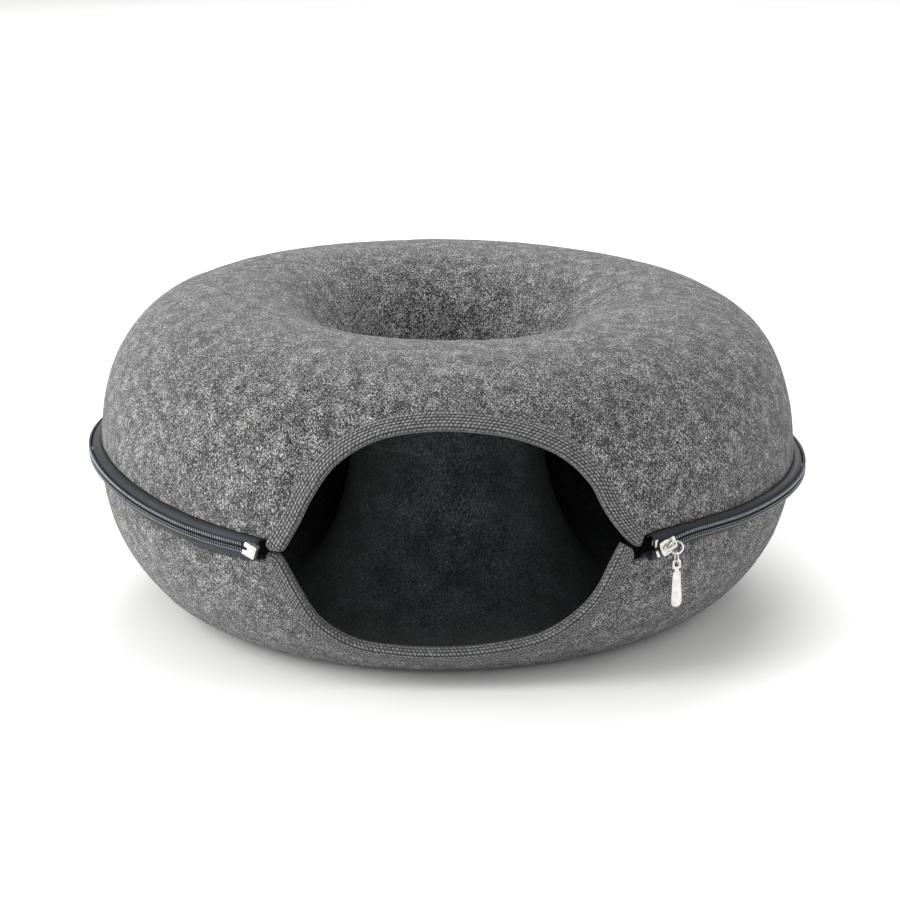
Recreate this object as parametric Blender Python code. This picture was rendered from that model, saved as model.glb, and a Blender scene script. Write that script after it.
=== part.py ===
"""Felt cat tunnel bed: a hollow felt ring that a cat walks through, closed by a zip round its outside.

Two moulded felt halves meet at the zip. In the middle hole the lower half's column slips up inside the
upper half's skirt. The doorway is cut out of both halves at the front and bound with folded webbing.

Metres, +Z up, doorway towards -Y, floor at z = 0. A bearing is an angle round the ring's own upright
axis, in degrees, 0 at the middle of the doorway and growing towards +X. A reach is a length along a
half's skin, measured from the ring's widest line: up on the upper half, down on the lower half.
"""

import math

import bmesh
import bpy
import numpy as np
from mathutils import Matrix, Vector

# The ring
RING_AXIS_Y = -0.0118
WIDEST_RADIUS = 0.245
WIDEST_HEIGHT = 0.100
CREST_RADIUS = 0.148
CREST_HEIGHT = 0.216
HOLE_RADIUS = 0.068
SKIRT_END_HEIGHT = 0.118
FOOT_OUTER_RADIUS = 0.169
FOOT_INNER_RADIUS = 0.127
COLUMN_RADIUS = 0.0631
COLUMN_TOP_HEIGHT = 0.128
SHOULDER_POWER = 2.55
HOLE_POWER = 2.46
BELLY_POWER = 1.85
COLUMN_POWER = 1.9
CREST_LEAN = -0.02
SWELL = 0.0008
SWELL_LOBES = 3
SWELL_PHASE = 0.6
SIDE_SHIFT = 0.0010
LEAD_IN = 0.03
TANGENT_STEP = 0.0005

# Cloth
FELT = 0.004
CLEARANCE = 0.0004
TAPE_CLEARANCE = 0.0006
BINDING_WIDTH = 0.0118
BINDING_THICKNESS = 0.0011
BINDING_CLEARANCE = 0.0009
TAPE_THICKNESS = 0.001
TAPE_HIDDEN = 0.0085
TAPE_BEND = 0.0012
TAPE_FALL = 0.0006

# The zip
TAPE_STAND_OUT = 0.0058
COIL_WIDTH = 0.0033
COIL_DEPTH = 0.0022
COIL_ROUND = 0.0008
COIL_PARTING = 0.0002
SPREAD_START = 35.1
SPREAD_PER_DEGREE = 0.0009

# How finely the cloth is faceted
DOOR_STATIONS = 28
BACK_STATIONS = 36
BOUND_EDGE_ROWS = (0.0, 0.006, 0.012)
UPPER_ROWS = 11
BELLY_ROWS = 6
COLUMN_ROWS = 6
CORNER_BEARINGS = (31.2, 32.6, 34.2)
BACK_START = 36.5
BACK_END = 326.0
CURVE_SAMPLES = 900

# Height of the zip's middle line: it dips at the doorway's corners and sits lower on the +X side
ZIP_LINE = (
    # (bearing, height)
    (-180, 0.1000),
    (-130, 0.1070),
    (-92, 0.1118),
    (-74, 0.1126),
    (-60, 0.1090),
    (-50, 0.1055),
    (-40, 0.1024),
    (-33, 0.1010),
    (-28, 0.1000),
    (0, 0.0960),
    (30, 0.0940),
    (34, 0.0968),
    (38, 0.0998),
    (43, 0.1000),
    (50, 0.0988),
    (60, 0.0978),
    (75, 0.0960),
    (90, 0.0942),
    (130, 0.0960),
    (180, 0.1000),
)

# How far each felt half's edge stands back from that line; near the doorway's corners the felt closes in
FELT_ABOVE_ZIP = (
    # (bearing, height)
    (-180, 0.0050),
    (-75, 0.0052),
    (-40, 0.0060),
    (-30, 0.0052),
    (0, 0.0052),
    (30, 0.0080),
    (34, 0.0078),
    (38, 0.0050),
    (46, 0.0046),
    (90, 0.0046),
    (180, 0.0050),
)
FELT_BELOW_ZIP = (
    # (bearing, height)
    (-180, 0.0088),
    (-75, 0.0112),
    (-50, 0.0118),
    (-34, 0.0118),
    (-29, 0.0090),
    (-26, 0.0060),
    (0, 0.0060),
    (26, 0.0060),
    (34, 0.0085),
    (50, 0.0080),
    (64, 0.0086),
    (90, 0.0086),
    (180, 0.0088),
)

# The doorway's bound edge, from the -X corner to the +X corner
DOOR_UPPER = (
    # (bearing, reach up)
    (-26.0, -0.0005),
    (-24.9, 0.007),
    (-23.4, 0.018),
    (-21.2, 0.037),
    (-17.6, 0.0595),
    (-12.0, 0.0760),
    (-4.0, 0.0842),
    (4.0, 0.0838),
    (12.0, 0.0765),
    (18.2, 0.0630),
    (22.3, 0.0440),
    (24.4, 0.0256),
    (26.2, 0.0134),
    (28.0, 0.0039),
    (29.3, -0.0016),
    (30.1, -0.0034),
)
DOOR_LOWER = (
    # (bearing, reach down)
    (-28.5, 0.0030),
    (-27.1, 0.0034),
    (-26.1, 0.0080),
    (-25.2, 0.0155),
    (-23.7, 0.0310),
    (-21.2, 0.0540),
    (-16.5, 0.0710),
    (-9.0, 0.0773),
    (0.0, 0.0786),
    (9.0, 0.0743),
    (15.5, 0.0672),
    (20.4, 0.0510),
    (23.4, 0.0340),
    (25.4, 0.0140),
    (26.6, 0.0040),
    (27.3, -0.0008),
)

# Bearings of the zip's parts
TAPE_UPPER_ENDS = (-29.4, 32.0)
TAPE_LOWER_ENDS = (-30.0, 31.75)
COIL_ENDS = (-31.65, 34.2)
BOX_BEARING = -30.15
BOX_TILT = 20.0
SLIDER_BEARING = 34.0
SLIDER_TILT = -22.0
STOP_BEARING = 32.15

# Metal parts
BOX_LENGTH = 0.0095
BOX_HEIGHT = 0.0090
BOX_DEPTH = 0.0048
BOX_NOTCH_WIDTH = 0.0022
BOX_NOTCH_DEPTH = 0.0030
SLIDER_LENGTH = 0.0130
SLIDER_PLATE = 0.0013
SLIDER_INNER_WIDTH = 0.0042
SLIDER_INNER_LENGTH = 0.0124
SLIDER_INNER_PLATE = 0.0012
SLIDER_INNER_GAP = 0.0009
POST_SET_BACK = 0.0012
POST_LENGTH = 0.0022
POST_LOW = 0.0002
POST_HIGH = 0.0020
STOP_LENGTH = 0.0022
STOP_HEIGHT = 0.0034
STOP_DEPTH = 0.0044
STOP_SHORTER_LEG = 0.0012
BRIDGE_WIDTH = 0.0019
BRIDGE_RISE = 0.0030
BRIDGE_THICKNESS = 0.0011
BRIDGE_REACH = 0.0050
BRIDGE_INNER_REACH = 0.0038
BRIDGE_SUNK = 0.0003
BRIDGE_ROUNDNESS = 0.8
BRIDGE_STEPS = 8
RING_RADIUS = 0.0042
RING_WIRE = 0.0007
RING_DEPTH = 0.00115
RING_LEAN = 34.0
RING_TILT_OUT = 30.0
LINK_HALF_WIDTH = 0.0023
LINK_HALF_HEIGHT = 0.0042
LINK_WIRE = 0.0005
TAB_FACING = 24.0
TAB_THICKNESS = 0.0013
TAB_HEAD_WIDTH = 0.0062
TAB_HEAD_HEIGHT = 0.0062
TAB_HEAD_WALL = 0.0016
TAB_NECK_WIDTH = 0.0032
TAB_NECK_HEIGHT = 0.0018
TAB_PLATE_LENGTH = 0.0246
TAB_PLATE_TOP = 0.0056
TAB_PLATE_END = 0.0080
TAB_CHAMFER = 0.0011
METAL_BEVEL = 0.00025
LOOP_STEPS = 24
WIRE_SIDES = 8

# The slider's outer plate, wide at the mouth where the two tapes come in
SLIDER_SHIELD = (
    # (along, half width)
    (-0.0065, 0.0031),
    (-0.0049, 0.0056),
    (-0.0007, 0.0054),
    (0.0023, 0.0041),
    (0.0065, 0.0045),
)


def clear_scene():
    """Remove whatever objects the file opened with."""
    for thing in list(bpy.data.objects):
        bpy.data.objects.remove(thing, do_unlink=True)


def through(table, places):
    """Read a smooth line through a table's (place, value) rows at the given places."""
    rows = np.array(table, float)
    x, y = rows[:, 0], rows[:, 1]
    slopes = np.gradient(y, x)
    index = np.clip(np.searchsorted(x, places, side="right") - 1, 0, len(x) - 2)
    width = x[index + 1] - x[index]
    t = (np.asarray(places, float) - x[index]) / width
    start = (1 + 2 * t) * (1 - t) ** 2 * y[index] + t * (1 - t) ** 2 * width * slopes[index]
    end = t**2 * (3 - 2 * t) * y[index + 1] - t**2 * (1 - t) * width * slopes[index + 1]
    return start + end


def quarter(upright, level, power, count=CURVE_SAMPLES):
    """A quarter of a squarish oval in (radius, height), upright at its first end and level at its last."""
    turn = np.linspace(0.0, math.pi / 2, count)
    across = np.clip(np.cos(turn), 0.0, 1.0) ** (2 / power)
    along = np.sin(turn) ** (2 / power)
    radius = level[0] + (upright[0] - level[0]) * across
    height = upright[1] + (level[1] - upright[1]) * along
    return np.column_stack([radius, height])


class Skin:
    """The outer face of one felt half, as a line in (radius, height) read by its reach from the widest line."""

    def __init__(self, points, upward):
        self.sign = 1.0 if upward else -1.0
        lead_in = np.array([[WIDEST_RADIUS, WIDEST_HEIGHT - self.sign * LEAD_IN]])
        self.points = np.vstack([lead_in, points])
        steps = np.hypot(*np.diff(self.points, axis=0).T)
        self.reach = np.concatenate([[0.0], np.cumsum(steps)]) - steps[0]
        self.end = self.reach[-1]

    def bending_rows(self, first, last, count):
        """Reaches from first to last that share out the skin's length and its turning evenly."""
        fine = np.linspace(first, last, CURVE_SAMPLES)
        line = np.array([self.read(reach) for reach in fine])
        heading = np.unwrap(np.arctan2(*np.diff(line, axis=0).T))
        turning = np.concatenate([[0.0, 0.0], np.cumsum(np.abs(np.diff(heading)))])
        effort = (fine - first) / (last - first) + turning / turning[-1]
        return list(np.interp(np.linspace(0.0, effort[-1], count), effort, fine))

    def at(self, reach, lift):
        """Radius and height at a reach, raised from the outer face by lift (negative is into the felt)."""
        radius, height = self.read(reach)
        after, before = self.read(reach + TANGENT_STEP), self.read(reach - TANGENT_STEP)
        tangent = np.array([after[0] - before[0], after[1] - before[1]])
        tangent /= np.hypot(*tangent)
        return radius + self.sign * tangent[1] * lift, height - self.sign * tangent[0] * lift

    def read(self, reach):
        """Radius and height on the outer face."""
        place = np.clip(reach, self.reach[0], self.end)
        radius = np.interp(place, self.reach, self.points[:, 0])
        height = np.interp(place, self.reach, self.points[:, 1])
        return np.array([radius, height])


def upper_skin():
    """From the widest line over the crest and down the hole to the skirt's end."""
    outside = quarter((WIDEST_RADIUS, WIDEST_HEIGHT), (CREST_RADIUS, CREST_HEIGHT), SHOULDER_POWER)
    hole = quarter((HOLE_RADIUS, WIDEST_HEIGHT), (CREST_RADIUS, CREST_HEIGHT), HOLE_POWER)[::-1]
    hole = hole[hole[:, 1] > SKIRT_END_HEIGHT]
    return Skin(np.vstack([outside, hole[1:]]), upward=True)


def lower_skin():
    """From the widest line down to the flat foot, across it and up the column."""
    belly = quarter((WIDEST_RADIUS, WIDEST_HEIGHT), (FOOT_OUTER_RADIUS, 0.0), BELLY_POWER)
    column = quarter((COLUMN_RADIUS, COLUMN_TOP_HEIGHT), (FOOT_INNER_RADIUS, 0.0), COLUMN_POWER)[::-1]
    return Skin(np.vstack([belly, column]), upward=False)


UPPER = upper_skin()
LOWER = lower_skin()


def zip_height(bearing):
    """Height of the zip's middle line."""
    return float(through(ZIP_LINE, np.array([bearing]))[0])


def place(bearing, radius, height):
    """A point of the ring, with the moulded felt's slight unevenness and its bulge towards -X."""
    angle = math.radians(bearing)
    radius = radius + SWELL * math.cos(SWELL_LOBES * angle + SWELL_PHASE) - SIDE_SHIFT * math.sin(angle)
    x = radius * math.sin(angle)
    rise = max(0.0, (height - WIDEST_HEIGHT) / (CREST_HEIGHT - WIDEST_HEIGHT))
    return Vector((x, RING_AXIS_Y - radius * math.cos(angle), height + CREST_LEAN * x * rise))


def felt_gap(skin, bearing):
    """Height between the zip's middle line and a felt half's edge."""
    table = FELT_ABOVE_ZIP if skin.sign > 0 else FELT_BELOW_ZIP
    return float(through(table, np.array([wrap(bearing)]))[0])


def felt_edge(skin, bearing):
    """Reach of a felt half's edge along the zip."""
    return felt_gap(skin, bearing) + skin.sign * (zip_height(bearing) - WIDEST_HEIGHT)


def door_line(table, inset=0.0):
    """Even stations along the doorway's edge, as (bearing, reach, away), away pointing into the felt."""
    rows = np.array(table, float)
    metric = np.radians(rows[:, 0]) * WIDEST_RADIUS
    chord = np.concatenate([[0.0], np.cumsum(np.hypot(np.diff(metric), np.diff(rows[:, 1])))])
    fine = np.linspace(0.0, chord[-1], CURVE_SAMPLES)
    across = through(np.column_stack([chord, metric]), fine)
    reach = through(np.column_stack([chord, rows[:, 1]]), fine)
    run = np.concatenate([[0.0], np.cumsum(np.hypot(np.diff(across), np.diff(reach)))])
    even = np.linspace(0.0, run[-1], DOOR_STATIONS)
    across, reach = np.interp(even, run, across), np.interp(even, run, reach)
    step = np.column_stack([np.gradient(across), np.gradient(reach)])
    step /= np.linalg.norm(step, axis=1)[:, None]
    away = np.column_stack([-step[:, 1], step[:, 0]])
    across, reach = across + away[:, 0] * inset, reach + away[:, 1] * inset
    return np.degrees(across / WIDEST_RADIUS), reach, away


BACK_BEARINGS = list(np.linspace(BACK_START, BACK_END, BACK_STATIONS))


def wrap(bearing):
    """Bring a bearing into -180 to 180."""
    return (bearing + 180.0) % 360.0 - 180.0


def material(name, colour, roughness, metallic=0.0):
    """A Principled material with plain values."""
    finish = bpy.data.materials.new(name)
    finish.use_nodes = True
    shader = finish.node_tree.nodes["Principled BSDF"]
    shader.inputs["Base Color"].default_value = (*colour, 1.0)
    shader.inputs["Roughness"].default_value = roughness
    shader.inputs["Metallic"].default_value = metallic
    return finish


def add_object(name, mesh, finish, smooth=True):
    """Link a mesh as a named object with its finish."""
    mesh.materials.append(finish)
    if smooth:
        mesh.shade_smooth()
        mesh.set_sharp_from_angle(angle=math.radians(40))
    thing = bpy.data.objects.new(name, mesh)
    bpy.context.scene.collection.objects.link(thing)
    return thing


def loft(name, sections, closed, finish):
    """Join equal sections into one solid, as a ring or with a face across each end."""
    form = bmesh.new()
    rows = [[form.verts.new(point) for point in section] for section in sections]
    count = len(rows[0])
    pairs = list(zip(rows, rows[1:]))
    if closed:
        pairs.append((rows[-1], rows[0]))
    for near, far in pairs:
        for i in range(count):
            j = (i + 1) % count
            form.faces.new((near[i], near[j], far[j], far[i]))
    if not closed:
        form.faces.new(rows[0])
        form.faces.new(rows[-1][::-1])
    bmesh.ops.recalc_face_normals(form, faces=form.faces)
    bmesh.ops.triangulate(form, faces=form.faces)
    mesh = bpy.data.meshes.new(name)
    form.to_mesh(mesh)
    form.free()
    return add_object(name, mesh, finish)


def felt_half(name, skin, door, finish):
    """One moulded felt half: a shell round the whole ring with its part of the doorway cut away."""
    inset = BINDING_THICKNESS + CLEARANCE
    bearings, reaches, _ = door_line(door, inset)
    starts = [max(reach, felt_edge(skin, bearing)) for bearing, reach in zip(bearings, reaches)]
    left = np.linspace(BACK_END, bearings[0] + 360.0, 4)[1:-1]
    back = [*CORNER_BEARINGS, *BACK_BEARINGS, *left]
    bearings = np.concatenate([bearings, back])
    starts += [felt_edge(skin, wrap(bearing)) for bearing in back]
    sections = []
    for bearing, start in zip(bearings, starts):
        reaches = reach_rows(skin, start)
        outer = [place(bearing, *skin.at(reach, 0.0)) for reach in reaches]
        inner = [place(bearing, *skin.at(reach, -FELT)) for reach in reaches]
        sections.append(outer + inner[::-1])
    return loft(name, sections, True, finish)


def reach_rows(skin, start):
    """Reaches of one section's points: close together at the bound edge, then as the skin bends."""
    close = [start + step for step in BOUND_EDGE_ROWS]
    if skin is UPPER:
        return close + skin.bending_rows(close[-1], skin.end, UPPER_ROWS)[1:]
    foot_from, foot_to = skin.reach[CURVE_SAMPLES], skin.reach[CURVE_SAMPLES + 1]
    belly = skin.bending_rows(close[-1], foot_from, BELLY_ROWS)
    column = skin.bending_rows(foot_to, skin.end, COLUMN_ROWS)
    return close + belly[1:] + column


def binding(name, skin, door, finish, level_ends):
    """Webbing folded over the doorway's edge: an outer leg, the fold and an inner leg."""
    outside = BINDING_CLEARANCE
    inside = -FELT - BINDING_CLEARANCE
    thick = BINDING_THICKNESS
    section = (
        # (distance from the fold, lift)
        (BINDING_WIDTH, outside),
        (BINDING_WIDTH, outside + thick),
        (thick, outside + thick),
        (0.0, outside),
        (0.0, inside),
        (thick, inside - thick),
        (BINDING_WIDTH, inside - thick),
        (BINDING_WIDTH, inside),
        (thick, inside),
        (thick, outside),
    )
    bearings, reaches, away = door_line(door)
    for end, order in ((0, 1), (-1, -1)):
        if level_ends[end]:
            for k in range(3):
                i = end + order * k
                level = np.array([math.copysign(1.0 / abs(away[i][0]), away[i][0]), 0.0])
                away[i] = away[i] + (level - away[i]) * (1.0 - k / 3.0)
    sections = []
    for bearing, reach, side in zip(bearings, reaches, away):
        points = []
        for distance, lift in section:
            where = bearing + math.degrees(side[0] * distance / WIDEST_RADIUS)
            points.append(place(where, *skin.at(reach + side[1] * distance, lift)))
        sections.append(points)
    return loft(name, sections, False, finish)


def spread(bearing):
    """How far each tape's edge stands from the zip's middle line where the slider parts them."""
    bearing = wrap(bearing)
    if 0.0 < bearing < SPREAD_START:
        return COIL_PARTING + (SPREAD_START - bearing) * SPREAD_PER_DEGREE
    return COIL_PARTING


def zip_bearings(ends):
    """Bearings of a zip part's sections, from its +X end round the back to its -X end."""
    right = [bearing for bearing in CORNER_BEARINGS if bearing > ends[1] + 0.2]
    return [ends[1], *right, *BACK_BEARINGS, ends[0] + 360.0]


def tape_outline(gap):
    """A tape's section as (stand-out, height from the middle line without its spread)."""
    half = TAPE_THICKNESS / 2
    behind = -FELT - TAPE_CLEARANCE - half
    route = (
        (behind, gap + TAPE_HIDDEN),
        (behind, gap),
        (behind + TAPE_BEND, gap - TAPE_BEND),
        (TAPE_STAND_OUT - TAPE_FALL, COIL_WIDTH + CLEARANCE),
        (TAPE_STAND_OUT, 0.0),
    )
    line = np.array(route)
    step = np.gradient(line, axis=0)
    step /= np.linalg.norm(step, axis=1)[:, None]
    side = np.column_stack([step[:, 1], -step[:, 0]]) * half
    return np.vstack([line + side, (line - side)[::-1]])


def zip_tape(name, skin, ends, finish):
    """One woven tape: hidden behind the felt, then leaning out to the coil that it carries."""
    sign = skin.sign
    share = (0, 0, 0, 0.8, 1, 1, 0.8, 0, 0, 0)
    sections = []
    for bearing in zip_bearings(ends):
        middle = zip_height(wrap(bearing))
        section = []
        for (out, up), part in zip(tape_outline(felt_gap(skin, bearing)), share):
            if part < 0.5:
                reach = up + sign * (middle - WIDEST_HEIGHT)
                radius, height = skin.at(reach, out)
            else:
                radius = WIDEST_RADIUS + out
                height = middle + sign * (up + part * spread(bearing))
            section.append(place(bearing, radius, height))
        sections.append(section)
    return loft(name, sections, False, finish)


def zip_coil(name, sign, finish):
    """One row of coil elements, as the bar that their outside fills."""
    inner = TAPE_STAND_OUT + TAPE_THICKNESS / 2 + CLEARANCE
    outer = inner + COIL_DEPTH
    outline = (
        # (stand-out, height from the middle line)
        (inner, 0.0),
        (outer, 0.0),
        (outer, COIL_WIDTH - COIL_ROUND),
        (inner + COIL_DEPTH / 2, COIL_WIDTH),
        (inner, COIL_WIDTH - COIL_ROUND),
    )
    sections = []
    for bearing in zip_bearings(COIL_ENDS):
        middle = zip_height(wrap(bearing))
        parting = spread(bearing)
        sections.append(
            [place(bearing, WIDEST_RADIUS + out, middle + sign * (up + parting)) for out, up in outline]
        )
    return loft(name, sections, False, finish)


def zip_frame(bearing, tilt, stand_out=0.0):
    """Axes on the zip: X along it towards growing bearings, Y into the ring, Z up, turned by tilt."""
    spot = place(bearing, WIDEST_RADIUS + stand_out, zip_height(bearing))
    turn = Matrix.Rotation(math.radians(bearing), 4, "Z")
    return Matrix.Translation(spot) @ turn @ Matrix.Rotation(math.radians(tilt), 4, "Y")


def block(outline, inner, outer):
    """A prism: an outline in (along, up), from a depth of inner to outer, counted outwards."""
    form = bmesh.new()
    near = [form.verts.new((x, -outer, z)) for x, z in outline]
    far = [form.verts.new((x, -inner, z)) for x, z in outline]
    form.faces.new(near)
    form.faces.new(far[::-1])
    count = len(outline)
    for i in range(count):
        j = (i + 1) % count
        form.faces.new((near[j], near[i], far[i], far[j]))
    bmesh.ops.recalc_face_normals(form, faces=form.faces)
    return form


def rectangle(left, right, low, high):
    """Corners of a rectangle."""
    return [(left, low), (right, low), (right, high), (left, high)]


def soften(form, width=METAL_BEVEL):
    """Round a prism's edges."""
    bmesh.ops.bevel(form, geom=form.edges[:], offset=width, segments=1, affect="EDGES", clamp_overlap=True)


def to_object(name, form, frame, finish):
    """Make an object of a form standing in a frame."""
    mesh = bpy.data.meshes.new(name)
    form.to_mesh(mesh)
    form.free()
    thing = add_object(name, mesh, finish)
    thing.matrix_world = frame
    return thing


def combine(base, helper, operation):
    """Join a helper to the base object, or cut it away, and keep the helper as a hidden guide."""
    helper.hide_render = True
    helper.display_type = "WIRE"
    change = base.modifiers.new(helper.name, "BOOLEAN")
    change.operation = operation
    change.solver = "EXACT"
    change.object = helper


def zip_box(finish):
    """The retainer box at the -X end: a block with a notch towards the chain and a slot for the tapes."""
    half_length, half_height = BOX_LENGTH / 2, BOX_HEIGHT / 2
    inner = TAPE_STAND_OUT + TAPE_THICKNESS / 2 + CLEARANCE
    notch = BOX_NOTCH_WIDTH / 2
    outline = [
        (half_length, -half_height),
        (half_length, half_height),
        (-half_length, half_height),
        (-half_length, notch),
        (-half_length + BOX_NOTCH_DEPTH, notch),
        (-half_length + BOX_NOTCH_DEPTH, -notch),
        (-half_length, -notch),
        (-half_length, -half_height),
    ]
    form = block(outline, inner, inner + BOX_DEPTH)
    soften(form)
    return to_object("zip_box", form, zip_frame(BOX_BEARING, BOX_TILT), finish)


def zip_stop(name, sign, finish):
    """A small C-shaped clip on a tape's edge, past the slider."""
    edge = spread(STOP_BEARING)
    inner = TAPE_STAND_OUT - TAPE_THICKNESS / 2 - TAPE_CLEARANCE
    outer = TAPE_STAND_OUT + TAPE_THICKNESS / 2 + TAPE_CLEARANCE
    wall = (STOP_DEPTH - (outer - inner)) / 2
    low = edge - CLEARANCE - wall
    high = edge + STOP_HEIGHT
    profile = [
        # (stand-out, height from the middle line)
        (inner - wall, low),
        (outer + wall, low),
        (outer + wall, high),
        (outer, high),
        (outer, edge - CLEARANCE),
        (inner, edge - CLEARANCE),
        (inner, high - STOP_SHORTER_LEG),
        (inner - wall, high - STOP_SHORTER_LEG),
    ]
    rise = zip_height(STOP_BEARING + 0.5) - zip_height(STOP_BEARING - 0.5) - sign * SPREAD_PER_DEGREE
    slope = math.degrees(math.atan2(rise, math.radians(1.0) * WIDEST_RADIUS))
    frame = zip_frame(STOP_BEARING, -slope)
    sections = []
    for along in (-STOP_LENGTH / 2, STOP_LENGTH / 2):
        sections.append([frame @ Vector((along, -out, sign * up)) for out, up in profile])
    return loft(name, sections, False, finish)


def slider(finish):
    """The slider: an outer plate, an inner plate, the post between them and the bridge."""
    frame = zip_frame(SLIDER_BEARING, SLIDER_TILT)
    tape_face = TAPE_STAND_OUT - TAPE_THICKNESS / 2
    coil_face = TAPE_STAND_OUT + TAPE_THICKNESS / 2 + CLEARANCE + COIL_DEPTH
    plate_in = coil_face + CLEARANCE
    plate_out = plate_in + SLIDER_PLATE
    shield = [(along, -wide) for along, wide in SLIDER_SHIELD]
    shield += [(along, wide) for along, wide in reversed(SLIDER_SHIELD)]
    form = block(shield, plate_in, plate_out)
    soften(form)
    body = to_object("slider_body", form, frame, finish)
    mouth_end = -SLIDER_LENGTH / 2
    narrow = SLIDER_INNER_WIDTH / 2
    inner_outline = rectangle(mouth_end, mouth_end + SLIDER_INNER_LENGTH, -narrow, narrow)
    inner_out = tape_face - SLIDER_INNER_GAP
    inner_plate = block(inner_outline, inner_out - SLIDER_INNER_PLATE, inner_out)
    post_at = mouth_end + POST_SET_BACK
    post_outline = rectangle(post_at, post_at + POST_LENGTH, POST_LOW, POST_HIGH)
    post = block(post_outline, inner_out - SLIDER_INNER_PLATE / 2, plate_out - SLIDER_PLATE / 3)
    combine(body, to_object("guide_post", post, frame, finish), "UNION")
    combine(body, to_object("guide_inner_plate", inner_plate, frame, finish), "UNION")
    combine(body, to_object("guide_bridge", bridge(plate_out), frame, finish), "UNION")
    return body


def bridge(plate_out):
    """The arched strap over the slider that the pull's ring hangs from."""
    outer, inner = [], []
    foot = plate_out - BRIDGE_SUNK
    inner_rise = BRIDGE_RISE + BRIDGE_SUNK
    for k in range(BRIDGE_STEPS + 1):
        turn = math.pi * k / BRIDGE_STEPS
        rise = math.sin(turn) ** BRIDGE_ROUNDNESS
        outer.append((-BRIDGE_REACH * math.cos(turn), foot + (inner_rise + BRIDGE_THICKNESS) * rise))
        inner.append((-BRIDGE_INNER_REACH * math.cos(turn), foot + inner_rise * rise))
    form = bmesh.new()
    outline = outer + inner[::-1]
    half = BRIDGE_WIDTH / 2
    sides = []
    for up in (-half, half):
        sides.append([form.verts.new((along, -out, up)) for along, out in outline])
    form.faces.new(sides[0])
    form.faces.new(sides[1][::-1])
    count = len(outline)
    for i in range(count):
        j = (i + 1) % count
        form.faces.new((sides[0][j], sides[0][i], sides[1][i], sides[1][j]))
    bmesh.ops.recalc_face_normals(form, faces=form.faces)
    return form


def wire_loop(name, centre, across, down, half_across, half_down, wire, finish):
    """A closed oval of round wire in the plane of two unit vectors."""
    normal = across.cross(down).normalized()
    sections = []
    for k in range(LOOP_STEPS):
        turn = 2 * math.pi * k / LOOP_STEPS
        spoke = across * math.cos(turn) * half_across + down * math.sin(turn) * half_down
        outward = (across * math.cos(turn) / half_across + down * math.sin(turn) / half_down).normalized()
        ring = []
        for m in range(WIRE_SIDES):
            lean = 2 * math.pi * m / WIRE_SIDES
            ring.append(centre + spoke + (outward * math.cos(lean) + normal * math.sin(lean)) * wire)
        sections.append(ring)
    return loft(name, sections, True, finish)


def pull(finish):
    """The pull: a ring threaded through the bridge, a link below it and a tab hanging from the link."""
    frame = zip_frame(SLIDER_BEARING, SLIDER_TILT)
    along, inward, up = (frame.to_3x3() @ Vector(axis) for axis in ((1, 0, 0), (0, 1, 0), (0, 0, 1)))
    coil_face = TAPE_STAND_OUT + TAPE_THICKNESS / 2 + CLEARANCE + COIL_DEPTH
    crossing = frame @ Vector((0.0, -(coil_face + CLEARANCE + SLIDER_PLATE + RING_DEPTH), 0.0))
    lean, tilt_out = math.radians(RING_LEAN), math.radians(RING_TILT_OUT)
    sideways = along * math.cos(lean) - up * math.sin(lean)
    hang = sideways * math.cos(tilt_out) - inward * math.sin(tilt_out)
    across = along * math.sin(lean) + up * math.cos(lean)
    centre = crossing + hang * RING_RADIUS
    wire_loop("pull_ring", centre, across, hang, RING_RADIUS, RING_RADIUS, RING_WIRE, finish)
    down = (across * -across.z + hang * -hang.z).normalized()
    facing = math.radians(TAB_FACING)
    front = Vector((math.sin(facing), -math.cos(facing), 0.0))
    floorward = Vector((0.0, 0.0, -1.0))
    lowest = centre + down * RING_RADIUS
    top_of_link = lowest - floorward * (RING_WIRE + CLEARANCE + LINK_WIRE)
    link_centre = top_of_link + floorward * LINK_HALF_HEIGHT
    wire_loop("pull_link", link_centre, front, floorward, LINK_HALF_WIDTH, LINK_HALF_HEIGHT, LINK_WIRE, finish)
    top_of_tab = link_centre.z - LINK_HALF_HEIGHT + LINK_WIRE + 2 * CLEARANCE + TAB_HEAD_WALL
    tab(Vector((link_centre.x, link_centre.y, top_of_tab)), finish)


def tab(top, finish):
    """The flat tab: a head with a square eye, a neck and a plate that widens to a round end."""
    head, neck = TAB_HEAD_WIDTH / 2, TAB_NECK_WIDTH / 2
    plate, end = TAB_PLATE_TOP / 2, TAB_PLATE_END / 2
    neck_from = -TAB_HEAD_HEIGHT
    plate_from = neck_from - TAB_NECK_HEIGHT
    round_at = plate_from - TAB_PLATE_LENGTH + end
    right = [
        (head - TAB_CHAMFER, 0.0),
        (head, -TAB_CHAMFER),
        (head, neck_from),
        (neck, neck_from),
        (neck, plate_from),
        (plate, plate_from),
        (end, round_at),
    ]
    turns = [math.radians(-angle) for angle in (22.5, 45, 67.5)]
    right += [(end * math.cos(turn), round_at + end * math.sin(turn)) for turn in turns]
    outline = right + [(0.0, round_at - end)] + [(-x, z) for x, z in reversed(right)]
    form = block(outline, -TAB_THICKNESS / 2, TAB_THICKNESS / 2)
    frame = Matrix.Translation(top) @ Matrix.Rotation(math.radians(TAB_FACING), 4, "Z")
    body = to_object("pull_tab", form, frame, finish)
    hole = rectangle(-head + TAB_HEAD_WALL, head - TAB_HEAD_WALL, neck_from + TAB_HEAD_WALL, -TAB_HEAD_WALL)
    eye = block(hole, -TAB_THICKNESS, TAB_THICKNESS)
    combine(body, to_object("guide_eye", eye, frame, finish), "DIFFERENCE")


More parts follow.
